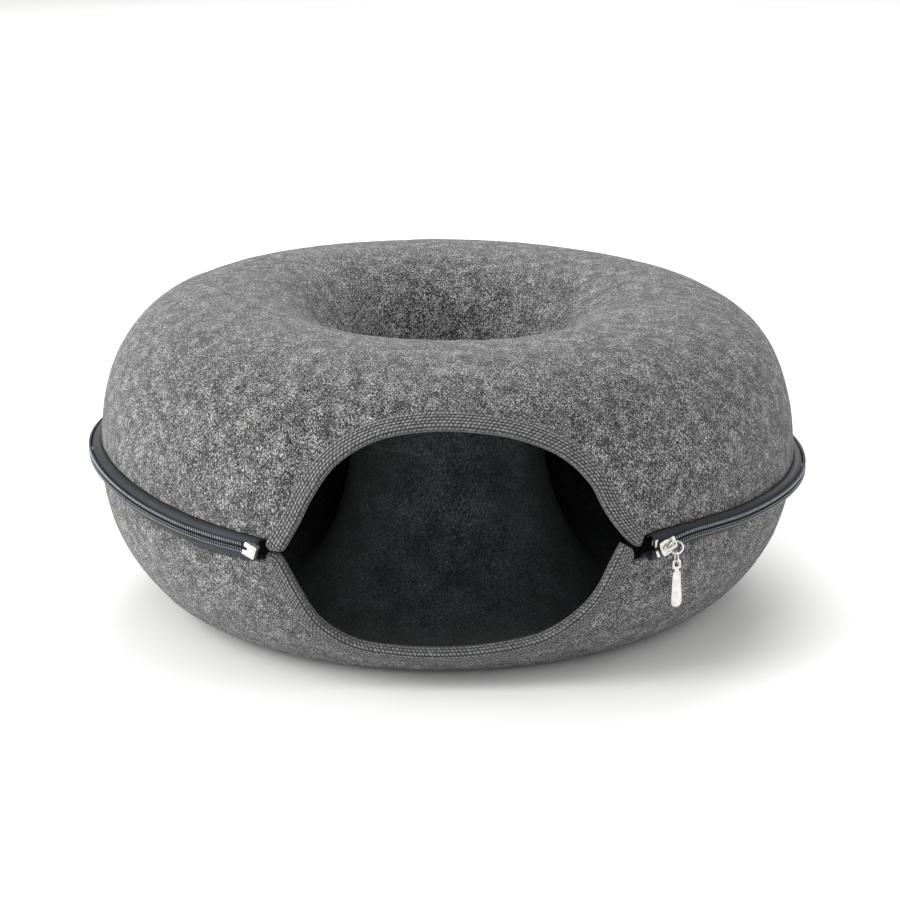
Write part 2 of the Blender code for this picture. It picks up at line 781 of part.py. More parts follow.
def build():
    """Make every piece of the bed."""
    clear_scene()
    felt = material("grey_felt", (0.18, 0.18, 0.185), 0.95)
    webbing = material("webbing", (0.09, 0.09, 0.1), 0.85)
    tape = material("zip_tape", (0.03, 0.035, 0.045), 0.6)
    nylon = material("zip_nylon", (0.02, 0.022, 0.03), 0.45)
    metal = material("nickel_plate", (0.8, 0.79, 0.76), 0.25, 1.0)
    felt_half("felt_upper", UPPER, DOOR_UPPER, felt)
    felt_half("felt_lower", LOWER, DOOR_LOWER, felt)
    binding("binding_upper", UPPER, DOOR_UPPER, webbing, {0: True, -1: False})
    binding("binding_lower", LOWER, DOOR_LOWER, webbing, {0: False, -1: False})
    zip_tape("zip_tape_upper", UPPER, TAPE_UPPER_ENDS, tape)
    zip_tape("zip_tape_lower", LOWER, TAPE_LOWER_ENDS, tape)
    zip_coil("zip_coil_upper", 1.0, nylon)
    zip_coil("zip_coil_lower", -1.0, nylon)
    zip_box(metal)
    zip_stop("zip_stop_upper", 1.0, metal)
    zip_stop("zip_stop_lower", -1.0, metal)
    slider(metal)
    pull(metal)


build()
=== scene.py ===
"""Looks of the felt cat tunnel bed: two moulded felt halves, webbing round the doorway, zip and metalwork.

Metres, +Z up, doorway towards -Y, floor at z = 0. A bearing is an angle round the ring's upright axis in
degrees, 0 at the middle of the doorway and growing towards +X. A reach is a length along a half's skin from
the ring's widest line: up on the upper half, down on the lower half. A lift is a height off that skin.
"""

import logging
import math
from dataclasses import dataclass
from enum import Enum

import bmesh
import bpy
import numpy as np
from mathutils import Matrix, Vector, noise


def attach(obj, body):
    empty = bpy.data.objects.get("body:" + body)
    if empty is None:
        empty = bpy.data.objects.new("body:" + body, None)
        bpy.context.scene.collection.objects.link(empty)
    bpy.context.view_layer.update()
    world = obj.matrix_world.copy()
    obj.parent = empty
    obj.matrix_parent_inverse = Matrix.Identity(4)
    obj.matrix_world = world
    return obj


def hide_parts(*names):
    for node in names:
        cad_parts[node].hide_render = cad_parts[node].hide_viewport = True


LOG = logging.getLogger("tunnel_bed")
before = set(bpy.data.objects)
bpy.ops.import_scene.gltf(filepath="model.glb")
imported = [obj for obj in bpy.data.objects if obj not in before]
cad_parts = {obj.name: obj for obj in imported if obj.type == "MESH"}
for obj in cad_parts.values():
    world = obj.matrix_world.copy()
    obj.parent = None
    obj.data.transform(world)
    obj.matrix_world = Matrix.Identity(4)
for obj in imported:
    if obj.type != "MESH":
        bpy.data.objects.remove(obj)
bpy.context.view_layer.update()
BODY = "root"
Numbers = float | np.ndarray
LEAD_IN = 0.03  # how far a skin's line runs on past the widest line, for the tapes behind the felt
HALF_STEP = 0.0005  # half the length over which a skin's slope is taken


class Half(Enum):
    """Which half of the ring a piece belongs to; the value is the way its reach grows."""

    UPPER = 1.0
    LOWER = -1.0

    @property
    def word(self) -> str:
        """The half's name in the pieces' names."""
        return self.name.lower()


class FeltFace(Enum):
    """The two faces of the felt: the napped outside, and the inside, whose felt is darkened with painted
    shade; the value is the face's material index.
    """

    NAPPED = 0
    PAINTED_SHADE_INSIDE = 1


# ---------------------------------------------------------------- small helpers


def linear(hexa: str) -> tuple[float, float, float, float]:
    """Turn an sRGB hex colour into linear light.

    Args:
        hexa: colour as "#rrggbb".

    Returns:
        Red, green, blue and an alpha of 1.
    """
    parts = [int(hexa[i : i + 2], 16) / 255 for i in (1, 3, 5)]
    light = [c / 12.92 if c <= 0.04045 else ((c + 0.055) / 1.055) ** 2.4 for c in parts]
    return (*light, 1.0)


def per_mm(millimetres: float) -> float:
    """Noise scale that gives features of about this size."""
    return 1000.0 / millimetres


def feed(tree: bpy.types.NodeTree, node: bpy.types.Node, values: dict | None, links: dict | None) -> None:
    """Set and link a node's inputs.

    Args:
        tree: the node's tree.
        node: the node.
        values: input socket name or index to value.
        links: input socket name or index to what feeds it: an output socket, or a node for its first output.
    """
    for key, value in (values or {}).items():
        node.inputs[key].default_value = value
    for key, source in (links or {}).items():
        socket = source.outputs[0] if isinstance(source, bpy.types.Node) else source
        tree.links.new(socket, node.inputs[key])


def add_node(
    tree: bpy.types.NodeTree,
    kind: str,
    values: dict | None = None,
    links: dict | None = None,
    stops: list | None = None,
    **settings: object,
) -> bpy.types.Node:
    """Add one node with its settings and links.

    Args:
        tree: shader or geometry tree.
        kind: node type name.
        values: as feed takes them.
        links: as feed takes them.
        stops: (position, hex colour) rows for a colour ramp.
        settings: the node's own properties.

    Returns:
        The new node.
    """
    node = tree.nodes.new(kind)
    for name, value in settings.items():
        setattr(node, name, value)
    feed(tree, node, values, links)
    for row, (position, hexa) in enumerate(stops or []):
        ends = node.color_ramp.elements
        element = ends[row] if row < 2 else ends.new(position)
        element.position = position
        element.color = linear(hexa)
    return node


def through(table: tuple | np.ndarray, places: Numbers) -> Numbers:
    """Read a smooth line through a table.

    Args:
        table: rows of (place, value).
        places: where to read it.

    Returns:
        The values there.
    """
    x, y = np.array(table, float).T
    slopes = np.gradient(y, x)
    index = np.clip(np.searchsorted(x, places, side="right") - 1, 0, len(x) - 2)
    width = x[index + 1] - x[index]
    t = (np.asarray(places, float) - x[index]) / width
    start = (1 + 2 * t) * (1 - t) ** 2 * y[index] + t * (1 - t) ** 2 * width * slopes[index]
    end = t**2 * (3 - 2 * t) * y[index + 1] - t**2 * (1 - t) * width * slopes[index + 1]
    return start + end


def distances(points: np.ndarray) -> np.ndarray:
    """Distance along a flat line to each of its points."""
    return np.concatenate([[0.0], np.cumsum(np.hypot(*np.diff(points, axis=0).T))])


def smooth_line(knots: np.ndarray, count: int) -> tuple[np.ndarray, np.ndarray]:
    """Run a smooth flat line through knots.

    Args:
        knots: points that it passes.
        count: number of points wanted.

    Returns:
        The line's points, and the distance along the knots of each.
    """
    run = distances(knots)
    fine = np.linspace(0.0, run[-1], count)
    return np.column_stack([through(np.column_stack([run, side]), fine) for side in knots.T]), fine


def unit(rows: np.ndarray) -> np.ndarray:
    """Rows at unit length."""
    return rows / np.linalg.norm(rows, axis=-1, keepdims=True)


def rectangle(left: float, low: float, right: float, high: float) -> list:
    """Corners of a rectangle."""
    return [(left, low), (right, low), (right, high), (left, high)]


def ease(value: Numbers, low: float, high: float) -> Numbers:
    """Smooth step from 0 at low to 1 at high."""
    t = np.clip((value - low) / (high - low), 0.0, 1.0)
    return t * t * (3 - 2 * t)


def wrap(bearing: Numbers) -> Numbers:
    """Bring bearings into -180 to 180."""
    return (np.asarray(bearing, float) + 180.0) % 360.0 - 180.0


def face_outwards(mesh: bpy.types.Mesh, weld: float = 0.0) -> None:
    """Turn a closed mesh's faces outwards and shade them smooth.

    Args:
        mesh: the mesh.
        weld: distance under which its points are merged first.
    """
    form = bmesh.new()
    form.from_mesh(mesh)
    if weld:
        bmesh.ops.remove_doubles(form, verts=form.verts, dist=weld)
    bmesh.ops.recalc_face_normals(form, faces=form.faces)
    form.to_mesh(mesh)
    form.free()
    mesh.shade_smooth()


def grid_mesh(name: str, rows: np.ndarray, around: bool) -> bpy.types.Mesh:
    """Make a mesh of closed sections.

    Args:
        name: mesh name.
        rows: points as (station, section point, 3).
        around: join the last station to the first.

    Returns:
        The mesh, with end faces where the stations aren't joined.
    """
    stations, count = rows.shape[:2]
    i, j = np.meshgrid(np.arange(stations if around else stations - 1), np.arange(count), indexing="ij")
    here, there, after = i * count, ((i + 1) % stations) * count, (j + 1) % count
    faces = np.stack([here + j, here + after, there + after, there + j], -1).reshape(-1, 4).tolist()
    if not around:
        faces += [list(range(count))[::-1], [(stations - 1) * count + k for k in range(count)]]
    mesh = bpy.data.meshes.new(name)
    mesh.from_pydata(rows.reshape(-1, 3).tolist(), [], faces)
    face_outwards(mesh)
    return mesh


def mark_points(mesh: bpy.types.Mesh, name: str, sections: list) -> None:
    """Store a number or a vector on every point of a mesh.

    Args:
        mesh: the mesh.
        name: the attribute's name.
        sections: the values, section by section.
    """
    values = np.concatenate(sections).astype(np.float32)
    kind, field = ("FLOAT", "value") if values.ndim == 1 else ("FLOAT_VECTOR", "vector")
    mesh.attributes.new(name, kind, "POINT").data.foreach_set(field, values.ravel())


def put(name: str, mesh: bpy.types.Mesh, *finishes: bpy.types.Material) -> bpy.types.Object:
    """Link a mesh into the scene as a piece.

    Args:
        name: object name.
        mesh: its mesh, already in place.
        finishes: its materials in slot order.

    Returns:
        The object.
    """
    for finish in finishes:
        mesh.materials.append(finish)
    piece = bpy.data.objects.new(name, mesh)
    bpy.context.scene.collection.objects.link(piece)
    return piece


def settle(
    name: str, mesh: bpy.types.Mesh, node: str | None, slot: str, *finishes: bpy.types.Material
) -> bpy.types.Object:
    """Make a mesh a piece of the bed and hide the CAD part that it replaces.

    Args:
        name: the piece's name.
        mesh: its finished mesh.
        node: CAD node that it replaces, or None.
        slot: not used.
        finishes: its materials in slot order.

    Returns:
        The piece.
    """
    piece = put(name, mesh, *finishes)
    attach(piece, BODY)
    if node:
        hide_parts(node)
    LOG.info("%s: %d triangles", name, sum(len(face.vertices) - 2 for face in mesh.polygons))
    return piece


def poly_curve(name: str, loops: list, closed: bool = False) -> bpy.types.Object:
    """Link a curve of straight runs through points.

    Args:
        name: object name.
        loops: a list of points for each run.
        closed: make each run a closed flat outline.

    Returns:
        The curve's object.
    """
    curve = bpy.data.curves.new(name, "CURVE")
    curve.dimensions = "2D" if closed else "3D"
    for loop in loops:
        line = curve.splines.new("POLY")
        line.points.add(len(loop) - 1)
        line.use_cyclic_u = closed
        for knot, point in zip(line.points, loop):
            knot.co = (*(*point, 0.0)[:3], 1.0)
    carrier = bpy.data.objects.new(name, curve)
    bpy.context.scene.collection.objects.link(carrier)
    return carrier


def evaluated(carrier: bpy.types.Object, name: str) -> bpy.types.Mesh:
    """Take an object's final shape as a plain mesh.

    Args:
        carrier: the object; it is removed afterwards.
        name: name of the mesh.

    Returns:
        The mesh.
    """
    graph = bpy.context.evaluated_depsgraph_get()
    graph.update()
    mesh = bpy.data.meshes.new_from_object(carrier.evaluated_get(graph))
    mesh.name = name
    bpy.data.objects.remove(carrier, do_unlink=True)
    return mesh


def bake_tree(carrier: bpy.types.Object, tree: bpy.types.NodeTree, sizes: dict, name: str) -> bpy.types.Mesh:
    """Run a geometry tree on a carrier and take its result as a plain mesh.

    Args:
        carrier: object whose geometry goes in; it is removed afterwards.
        tree: the geometry tree.
        sizes: input name to value.
        name: name of the mesh.

    Returns:
        The realised mesh.
    """
    change = carrier.modifiers.new(tree.name, "NODES")
    change.node_group = tree
    for item in tree.interface.items_tree:
        if item.item_type == "SOCKET" and item.in_out == "INPUT" and item.name in sizes:
            change[item.identifier] = sizes[item.name]
    return evaluated(carrier, name)


# ---------------------------------------------------------------- the ring's own geometry


def quarter(upright: tuple, level: tuple, power: float, count: int = 900) -> np.ndarray:
    """A quarter of a squarish oval in (radius, height).

    Args:
        upright: its end where it stands upright.
        level: its end where it lies level.
        power: how square it is; 2 is round.
        count: number of points.

    Returns:
        Points from the upright end to the level one.
    """
    turn = np.linspace(0.0, math.pi / 2, count)
    across = np.clip(np.cos(turn), 0.0, 1.0) ** (2 / power)
    along = np.sin(turn) ** (2 / power)
    radius = level[0] + (upright[0] - level[0]) * across
    height = upright[1] + (level[1] - upright[1]) * along
    return np.column_stack([radius, height])


@dataclass
class Ring:
    """The ring's own sizes, and the way from bearing, radius and height to a point."""

    axis_y: float = -0.0118
    widest_radius: float = 0.245
    widest_height: float = 0.100
    crest_radius: float = 0.148
    crest_height: float = 0.216
    hole_radius: float = 0.068
    skirt_end: float = 0.118
    foot_outer: float = 0.169
    foot_inner: float = 0.127
    column_radius: float = 0.0631
    column_top: float = 0.128
    shoulder_power: float = 2.55
    hole_power: float = 2.46
    belly_power: float = 1.85
    column_power: float = 1.9
    crest_lean: float = -0.02
    swell: float = 0.0008
    swell_phase: float = 0.6
    side_shift: float = 0.0010
    felt: float = 0.004
    zip_line: tuple = (
        # (bearing, height of the zip's middle line)
        (-180, 0.1000),
        (-130, 0.1070),
        (-92, 0.1118),
        (-74, 0.1126),
        (-60, 0.1090),
        (-50, 0.1055),
        (-40, 0.1024),
        (-33, 0.1010),
        (-28, 0.1000),
        (0, 0.0960),
        (30, 0.0940),
        (34, 0.0968),
        (38, 0.0998),
        (43, 0.1000),
        (50, 0.0988),
        (60, 0.0978),
        (75, 0.0960),
        (90, 0.0942),
        (130, 0.0960),
        (180, 0.1000),
    )
    felt_above_zip: tuple = (
        # (bearing, height of the felt's edge over that line)
        (-180, 0.0050),
        (-75, 0.0052),
        (-40, 0.0060),
        (-30, 0.0052),
        (0, 0.0052),
        (30, 0.0080),
        (34, 0.0078),
        (38, 0.0050),
        (46, 0.0046),
        (90, 0.0046),
        (180, 0.0050),
    )
    felt_below_zip: tuple = (
        # (bearing, depth of the felt's edge under that line)
        (-180, 0.0088),
        (-75, 0.0112),
        (-50, 0.0118),
        (-34, 0.0118),
        (-29, 0.0090),
        (-26, 0.0060),
        (0, 0.0060),
        (26, 0.0060),
        (34, 0.0085),
        (50, 0.0080),
        (64, 0.0086),
        (90, 0.0086),
        (180, 0.0088),
    )

    def place(self, bearing: Numbers, radius: Numbers, height: Numbers) -> np.ndarray:
        """Points of the ring, with the moulded felt's slight swell and its bulge towards -X.

        Args:
            bearing: degrees.
            radius: metres from the ring's axis.
            height: metres above the floor.

        Returns:
            An array of points, one row each.
        """
        angle = np.radians(bearing)
        radius = radius + self.swell * np.cos(3 * angle + self.swell_phase) - self.side_shift * np.sin(angle)
        x = radius * np.sin(angle)
        rise = np.maximum(0.0, (height - self.widest_height) / (self.crest_height - self.widest_height))
        return np.stack([x, self.axis_y - radius * np.cos(angle), height + self.crest_lean * x * rise], -1)

    def zip_height(self, bearing: Numbers) -> Numbers:
        """Height of the zip's middle line."""
        return through(self.zip_line, wrap(bearing))

    def felt_gap(self, half: Half, bearing: Numbers) -> Numbers:
        """Height between the zip's middle line and one felt half's edge."""
        table = self.felt_above_zip if half is Half.UPPER else self.felt_below_zip
        return through(table, wrap(bearing))

    def zip_frame(self, bearing: float, tilt: float) -> Matrix:
        """Axes on the zip: X along it, Y into the ring, Z up.

        Args:
            bearing: degrees.
            tilt: turn about Y in degrees.

        Returns:
            The frame's matrix.
        """
        spot = self.place(bearing, self.widest_radius, self.zip_height(bearing))
        turn = Matrix.Rotation(math.radians(bearing), 4, "Z")
        return Matrix.Translation(Vector(spot)) @ turn @ Matrix.Rotation(math.radians(tilt), 4, "Y")


class Skin:
    """The outer face of one felt half, as a line in (radius, height) read by its reach."""

    def __init__(self, ring: Ring, half: Half) -> None:
        """Lay out the half's line.

        Args:
            ring: the ring's sizes.
            half: which half.
        """
        widest = (ring.widest_radius, ring.widest_height)
        if half is Half.UPPER:
            crest = (ring.crest_radius, ring.crest_height)
            outside = quarter(widest, crest, ring.shoulder_power)
            hole = quarter((ring.hole_radius, ring.widest_height), crest, ring.hole_power)[::-1]
            inside = hole[hole[:, 1] > ring.skirt_end][1:]
        else:
            outside = quarter(widest, (ring.foot_outer, 0.0), ring.belly_power)
            column = (ring.column_radius, ring.column_top)
            inside = quarter(column, (ring.foot_inner, 0.0), ring.column_power)[::-1]
        self.ring, self.half, self.sign = ring, half, half.value
        lead_in = (ring.widest_radius, ring.widest_height - self.sign * LEAD_IN)
        self.points = np.vstack([lead_in, outside, inside])
        run = distances(self.points)
        self.reach = run - run[1]
        self.end = float(self.reach[-1])

    def read(self, reach: Numbers) -> np.ndarray:
        """Radius and height on the outer face."""
        where = np.clip(reach, self.reach[0], self.end)
        return np.stack([np.interp(where, self.reach, side) for side in self.points.T], -1)

    def at(self, reach: Numbers, lift: Numbers) -> tuple[Numbers, Numbers]:
        """Radius and height at a reach, raised off the outer face.

        Args:
            reach: metres along the skin.
            lift: metres off it, negative into the felt.

        Returns:
            Radii and heights.
        """
        line = self.read(reach)
        tangent = unit(self.read(reach + HALF_STEP) - self.read(reach - HALF_STEP))
        radius = line[..., 0] + self.sign * tangent[..., 1] * lift
        return radius, line[..., 1] - self.sign * tangent[..., 0] * lift

    def felt_edge(self, bearing: Numbers) -> Numbers:
        """Reach of the felt's edge along the zip."""
        rise = self.ring.zip_height(bearing) - self.ring.widest_height
        return self.ring.felt_gap(self.half, bearing) + self.sign * rise


@dataclass
class Doorway:
    """The doorway's bound edge, from the -X corner to the +X corner."""

    ring: Ring
    upper: tuple = (
        # (bearing, reach up)
        (-26.0, -0.0005),
        (-24.9, 0.007),
        (-23.4, 0.018),
        (-21.2, 0.037),
        (-17.6, 0.0595),
        (-12.0, 0.0760),
        (-4.0, 0.0842),
        (4.0, 0.0838),
        (12.0, 0.0765),
        (18.2, 0.0630),
        (22.3, 0.0440),
        (24.4, 0.0256),
        (26.2, 0.0134),
        (28.0, 0.0039),
        (29.3, -0.0016),
        (30.1, -0.0034),
    )
    lower: tuple = (
        # (bearing, reach down)
        (-28.5, 0.0030),
        (-27.1, 0.0034),
        (-26.1, 0.0080),
        (-25.2, 0.0155),
        (-23.7, 0.0310),
        (-21.2, 0.0540),
        (-16.5, 0.0710),
        (-9.0, 0.0773),
        (0.0, 0.0786),
        (9.0, 0.0743),
        (15.5, 0.0672),
        (20.4, 0.0510),
        (23.4, 0.0340),
        (25.4, 0.0140),
        (26.6, 0.0040),
        (27.3, -0.0008),
    )

    def edge(
        self, half: Half, stations: int, inset: float = 0.0
    ) -> tuple[np.ndarray, np.ndarray, np.ndarray, float]:
        """Even stations along one half's edge.

        Args:
            half: which half.
            stations: how many.
            inset: how far into the felt, in metres.

        Returns:
            Bearings, reaches, the direction into the felt, and the edge's length.
        """
        rows = np.array(self.upper if half is Half.UPPER else self.lower, float)
        rows[:, 0] = np.radians(rows[:, 0]) * self.ring.widest_radius
        line, _ = smooth_line(rows, 900)
        run = distances(line)
        step = unit(np.gradient(line, run, axis=0))
        even = np.linspace(0.0, run[-1], stations)
        away = unit(np.column_stack([-np.interp(even, run, step[:, 1]), np.interp(even, run, step[:, 0])]))
        across, reach = (np.interp(even, run, line[:, k]) + away[:, k] * inset for k in (0, 1))
        return np.degrees(across / self.ring.widest_radius), reach, away, float(run[-1])


# ---------------------------------------------------------------- finishes


@dataclass(frozen=True)
class Finish:
    """What every finish has: a name, a Principled shader, a colour ramp and a relief."""

    name: str

    def start(self) -> tuple[bpy.types.Material, bpy.types.NodeTree, bpy.types.NodeSocket]:
        """Open a new material.

        Returns:
            The material, its tree and the object coordinates.
        """
        material = bpy.data.materials.new(self.name)
        material.use_nodes = True
        tree = material.node_tree
        return material, tree, add_node(tree, "ShaderNodeTexCoord").outputs["Object"]

    def coat(
        self, tree: bpy.types.NodeTree, colour: tuple, relief: tuple, values: dict, **links: object
    ) -> None:
        """Lay colour and relief on the shader.

        Args:
            tree: the material's tree.
            colour: the ramp's source and its stops.
            relief: the height's source, the relief's strength and its depth in metres.
            values: the shader's own settings.
            links: sources of its other inputs.
        """
        ramp = add_node(tree, "ShaderNodeValToRGB", None, {"Fac": colour[0]}, colour[1])
        depth = {"Strength": relief[1], "Distance": relief[2]}
        bump = add_node(tree, "ShaderNodeBump", depth, {"Height": relief[0]})
        feed(tree, tree.nodes["Principled BSDF"], values, {"Base Color": ramp, "Normal": bump, **links})


@dataclass(frozen=True)
class NeedledFelt(Finish):
    """Needle-punched wool and polyester felt, heat-moulded: matt, mottled, light fibres over dark ones."""

    dark: str = "#0d0e10"
    middle: str = "#3c3c3e"
    light: str = "#c8c7c5"
    fibre_mm: float = 1.0
    fibre_stretch: float = 0.55
    mottle_mm: float = 9.0
    relief_mm: float = 0.9

    def build(self) -> bpy.types.Material:
        """Make the material.

        Returns:
            Felt whose fibres run in three directions, bent by a slow swirl.
        """
        material, tree, place = self.start()
        noises, maths = "ShaderNodeTexNoise", "ShaderNodeMath"
        swirl = add_node(tree, noises, {"Scale": per_mm(14.0), "Detail": 2.0}, {"Vector": place})
        swirled = {0: swirl.outputs["Color"], 2: place}
        bend = add_node(tree, "ShaderNodeVectorMath", {1: (0.006,) * 3}, swirled, operation="MULTIPLY_ADD")
        strongest = None
        for turn in ((0.5, 0.2, 0.4), (1.7, 0.4, 2.1), (0.3, 1.4, 1.1)):
            stretch = {"Rotation": turn, "Scale": (1.0, 1.0, self.fibre_stretch)}
            lay = add_node(tree, "ShaderNodeMapping", stretch, {"Vector": bend})
            fine = {"Scale": per_mm(self.fibre_mm), "Detail": 3.0, "Roughness": 0.62}
            fibres = add_node(tree, noises, fine, {"Vector": lay})
            if strongest is None:
                strongest = fibres
            else:
                strongest = add_node(tree, maths, None, {0: strongest, 1: fibres}, operation="MAXIMUM")
        slow = {"Scale": per_mm(self.mottle_mm), "Detail": 4.0, "Roughness": 0.6}
        mottle = add_node(tree, noises, slow, {"Vector": place})
        grain = add_node(tree, noises, {"Scale": per_mm(0.65), "Detail": 2.0}, {"Vector": bend})
        mixed = add_node(tree, maths, {1: 0.24}, {0: mottle, 2: strongest}, operation="MULTIPLY_ADD")
        mixed = add_node(tree, maths, {1: 0.5}, {0: grain, 2: mixed}, operation="MULTIPLY_ADD")
        tone = add_node(tree, "ShaderNodeMapRange", {"From Min": 0.86, "From Max": 1.05}, {"Value": mixed})
        stops = [(0.0, self.dark), (1.0, self.light), (0.5, self.middle)]
        cloth = {"Roughness": 1.0, "Specular IOR Level": 0.15, "Sheen Weight": 0.25, "Sheen Roughness": 0.6}
        self.coat(tree, (tone, stops), (tone, 0.7, self.relief_mm / 1000), cloth)
        return material


@dataclass(frozen=True)
class TwillWebbing(Finish):
    """Woven polyester webbing: bright yarn on the ribs, its grooves darkened with painted shade."""

    # the grooves' colour is painted shade
    groove_shade: str = "#17181b"
    middle: str = "#3c3d3f"
    yarn: str = "#8f8f8d"
    fleck_mm: float = 2.2

    def build(self) -> bpy.types.Material:
        """Make the material.

        Returns:
            Webbing that reads its colour from the height of its own weave, so its grooves get painted shade.
        """
        material, tree, place = self.start()
        weave = add_node(tree, "ShaderNodeAttribute", attribute_name="weave").outputs["Fac"]
        size = {"Scale": per_mm(self.fleck_mm), "Detail": 3.0}
        fleck = add_node(tree, "ShaderNodeTexNoise", size, {"Vector": place})
        # low points of the weave turn dark: painted shade in the grooves
        fleck_and_weave_height = add_node(tree, "ShaderNodeMath", {1: 0.9}, {0: fleck, 2: weave}, operation="MULTIPLY_ADD")
        tone = add_node(tree, "ShaderNodeMapRange", {"From Min": 0.45, "From Max": 1.40}, {"Value": fleck_and_weave_height})
        stops = [(0.0, self.groove_shade), (1.0, self.yarn), (0.45, self.middle)]
        cloth = {"Roughness": 0.75, "Specular IOR Level": 0.35, "Sheen Weight": 0.1}
        self.coat(tree, (tone, stops), (fleck_and_weave_height, 0.4, 0.0003), cloth)
        return material


@dataclass(frozen=True)
class ZipTapeCloth(Finish):
    """Close-woven polyester zip tape: nearly smooth, blue-grey, with a soft gloss."""

    dark: str = "#16191e"
    light: str = "#2a2f37"
    thread_mm: float = 0.9

    def build(self) -> bpy.types.Material:
        """Make the material.

        Returns:
            Tape with a fine warp along it; its threads are drawn coarser than the real 0.3 mm ones to show.
        """
        material, tree, place = self.start()
        maths, per_thread = "ShaderNodeMath", 2 * math.pi / (self.thread_mm / 1000)
        lie = add_node(tree, "ShaderNodeAttribute", attribute_name="lie").outputs["Vector"]
        split = add_node(tree, "ShaderNodeSeparateXYZ", None, {0: lie})
        waves = []
        for way in (1, 0):
            beat = add_node(tree, maths, {1: per_thread}, {0: split.outputs[way]}, operation="MULTIPLY")
            waves.append(add_node(tree, maths, None, {0: beat}, operation="SINE"))
        warp, weft = waves
        both = add_node(tree, maths, {1: 0.5}, {0: weft, 2: warp}, operation="MULTIPLY_ADD")
        cloud = {"Scale": per_mm(22.0), "Detail": 3.0}
        fade = add_node(tree, "ShaderNodeTexNoise", cloud, {"Vector": place})
        height = add_node(tree, "ShaderNodeMapRange", {"From Min": -1.5, "From Max": 1.5}, {"Value": both})
        mix = add_node(tree, maths, {1: 0.25}, {0: height, 2: fade}, operation="MULTIPLY_ADD")
        cloth = {"Roughness": 0.6, "Specular IOR Level": 0.3, "Sheen Weight": 0.06}
        self.coat(tree, (mix, [(0.3, self.dark), (0.95, self.light)]), (height, 0.25, 0.0002), cloth)
        return material


@dataclass(frozen=True)
class SpeckledFinish(Finish):
    """A plain moulded, spun or plated surface with a little variation in colour and gloss."""

    dark: str
    light: str
    speckle_mm: float
    roughness: tuple[float, float]
    metallic: float = 0.0
    specular: float = 0.5
    relief_mm: float = 0.02

    def build(self) -> bpy.types.Material:
        """Make the material.

        Returns:
            The finish, its colour and roughness varied by one noise.
        """
        material, tree, place = self.start()
        size = {"Scale": per_mm(self.speckle_mm), "Detail": 4.0, "Roughness": 0.6}
        speckle = add_node(tree, "ShaderNodeTexNoise", size, {"Vector": place})
        limits = {"To Min": self.roughness[0], "To Max": self.roughness[1]}
        gloss = add_node(tree, "ShaderNodeMapRange", limits, {"Value": speckle})
        stops = [(0.3, self.dark), (0.7, self.light)]
        values = {"Metallic": self.metallic, "Specular IOR Level": self.specular}
        self.coat(tree, (speckle, stops), (speckle, 0.3, self.relief_mm / 1000), values, Roughness=gloss)
        return material


# Moulded felt: its outside keeps its nap, its inside is pressed flat against the mould; the inside's copy of
# the felt is darker and bluer, painted shade for the dim tunnel
NAPPED = NeedledFelt("napped_felt").build()
PAINTED_SHADE_INSIDE = NeedledFelt("felt_with_painted_shade", "#1b1f21", "#34393c", "#727a7d", mottle_mm=24.0, relief_mm=0.5).build()
WOVEN = TwillWebbing("polyester_webbing").build()
ZIP_CLOTH = ZipTapeCloth("zip_tape_cloth").build()
# Nylon monofilament: near black, smooth, with small bright glints on each turn
COIL = SpeckledFinish("nylon_coil", "#101216", "#24272d", 2.0, (0.3, 0.45)).build()
# Spun sewing thread: pale grey-blue, dull; the same pale bars also make painted glints on the lower coil's
# heads
CHAIN_THREAD_AND_GLINT = SpeckledFinish("sewing_thread_and_glint", "#7d828a", "#b4b8be", 1.2, (0.6, 0.8), specular=0.3).build()
# Thread in the webbing's own grey
SEAM = SpeckledFinish("seam_thread", "#4c4d50", "#8e8e8e", 1.2, (0.65, 0.85), specular=0.3).build()
# Bright nickel over die-cast zinc: mirror-like, softened by fine handling marks
METAL = SpeckledFinish("nickel_plate", "#c2c0bb", "#e6e4e0", 3.0, (0.16, 0.32), metallic=1.0).build()
# Loose wool and polyester fibres standing off the felt
FIBRE = SpeckledFinish("loose_fibre", "#3e3e40", "#b2b1af", 6.0, (0.8, 1.0), specular=0.2).build()


# ---------------------------------------------------------------- geometry trees


def open_tree(name: str, sizes: tuple) -> tuple[bpy.types.NodeTree, bpy.types.bpy_prop_collection]:
    """Open a geometry tree with named inputs for its sizes.

    Args:
        name: tree name.
        sizes: names of its number inputs.

    Returns:
        The tree, and its inputs by name.
    """
    tree = bpy.data.node_groups.new(name, "GeometryNodeTree")
    face = tree.interface
    face.new_socket("Geometry", in_out="INPUT", socket_type="NodeSocketGeometry")
    for size in sizes:
        face.new_socket(size, in_out="INPUT", socket_type="NodeSocketFloat")
    face.new_socket("Geometry", in_out="OUTPUT", socket_type="NodeSocketGeometry")
    return tree, add_node(tree, "NodeGroupInput").outputs


def close_tree(
    tree: bpy.types.NodeTree, copies: bpy.types.Node, finish: bpy.types.Material
) -> bpy.types.NodeTree:
    """Make a tree's copies real and give them their material.

    Args:
        tree: the tree.
        copies: the node that sets the copies out.
        finish: their material.

    Returns:
        The finished tree.
    """
    real = add_node(tree, "GeometryNodeRealizeInstances", None, {0: copies})
    dressed = add_node(tree, "GeometryNodeSetMaterial", {"Material": finish}, {"Geometry": real})
    add_node(tree, "NodeGroupOutput", None, {0: dressed})
    return tree


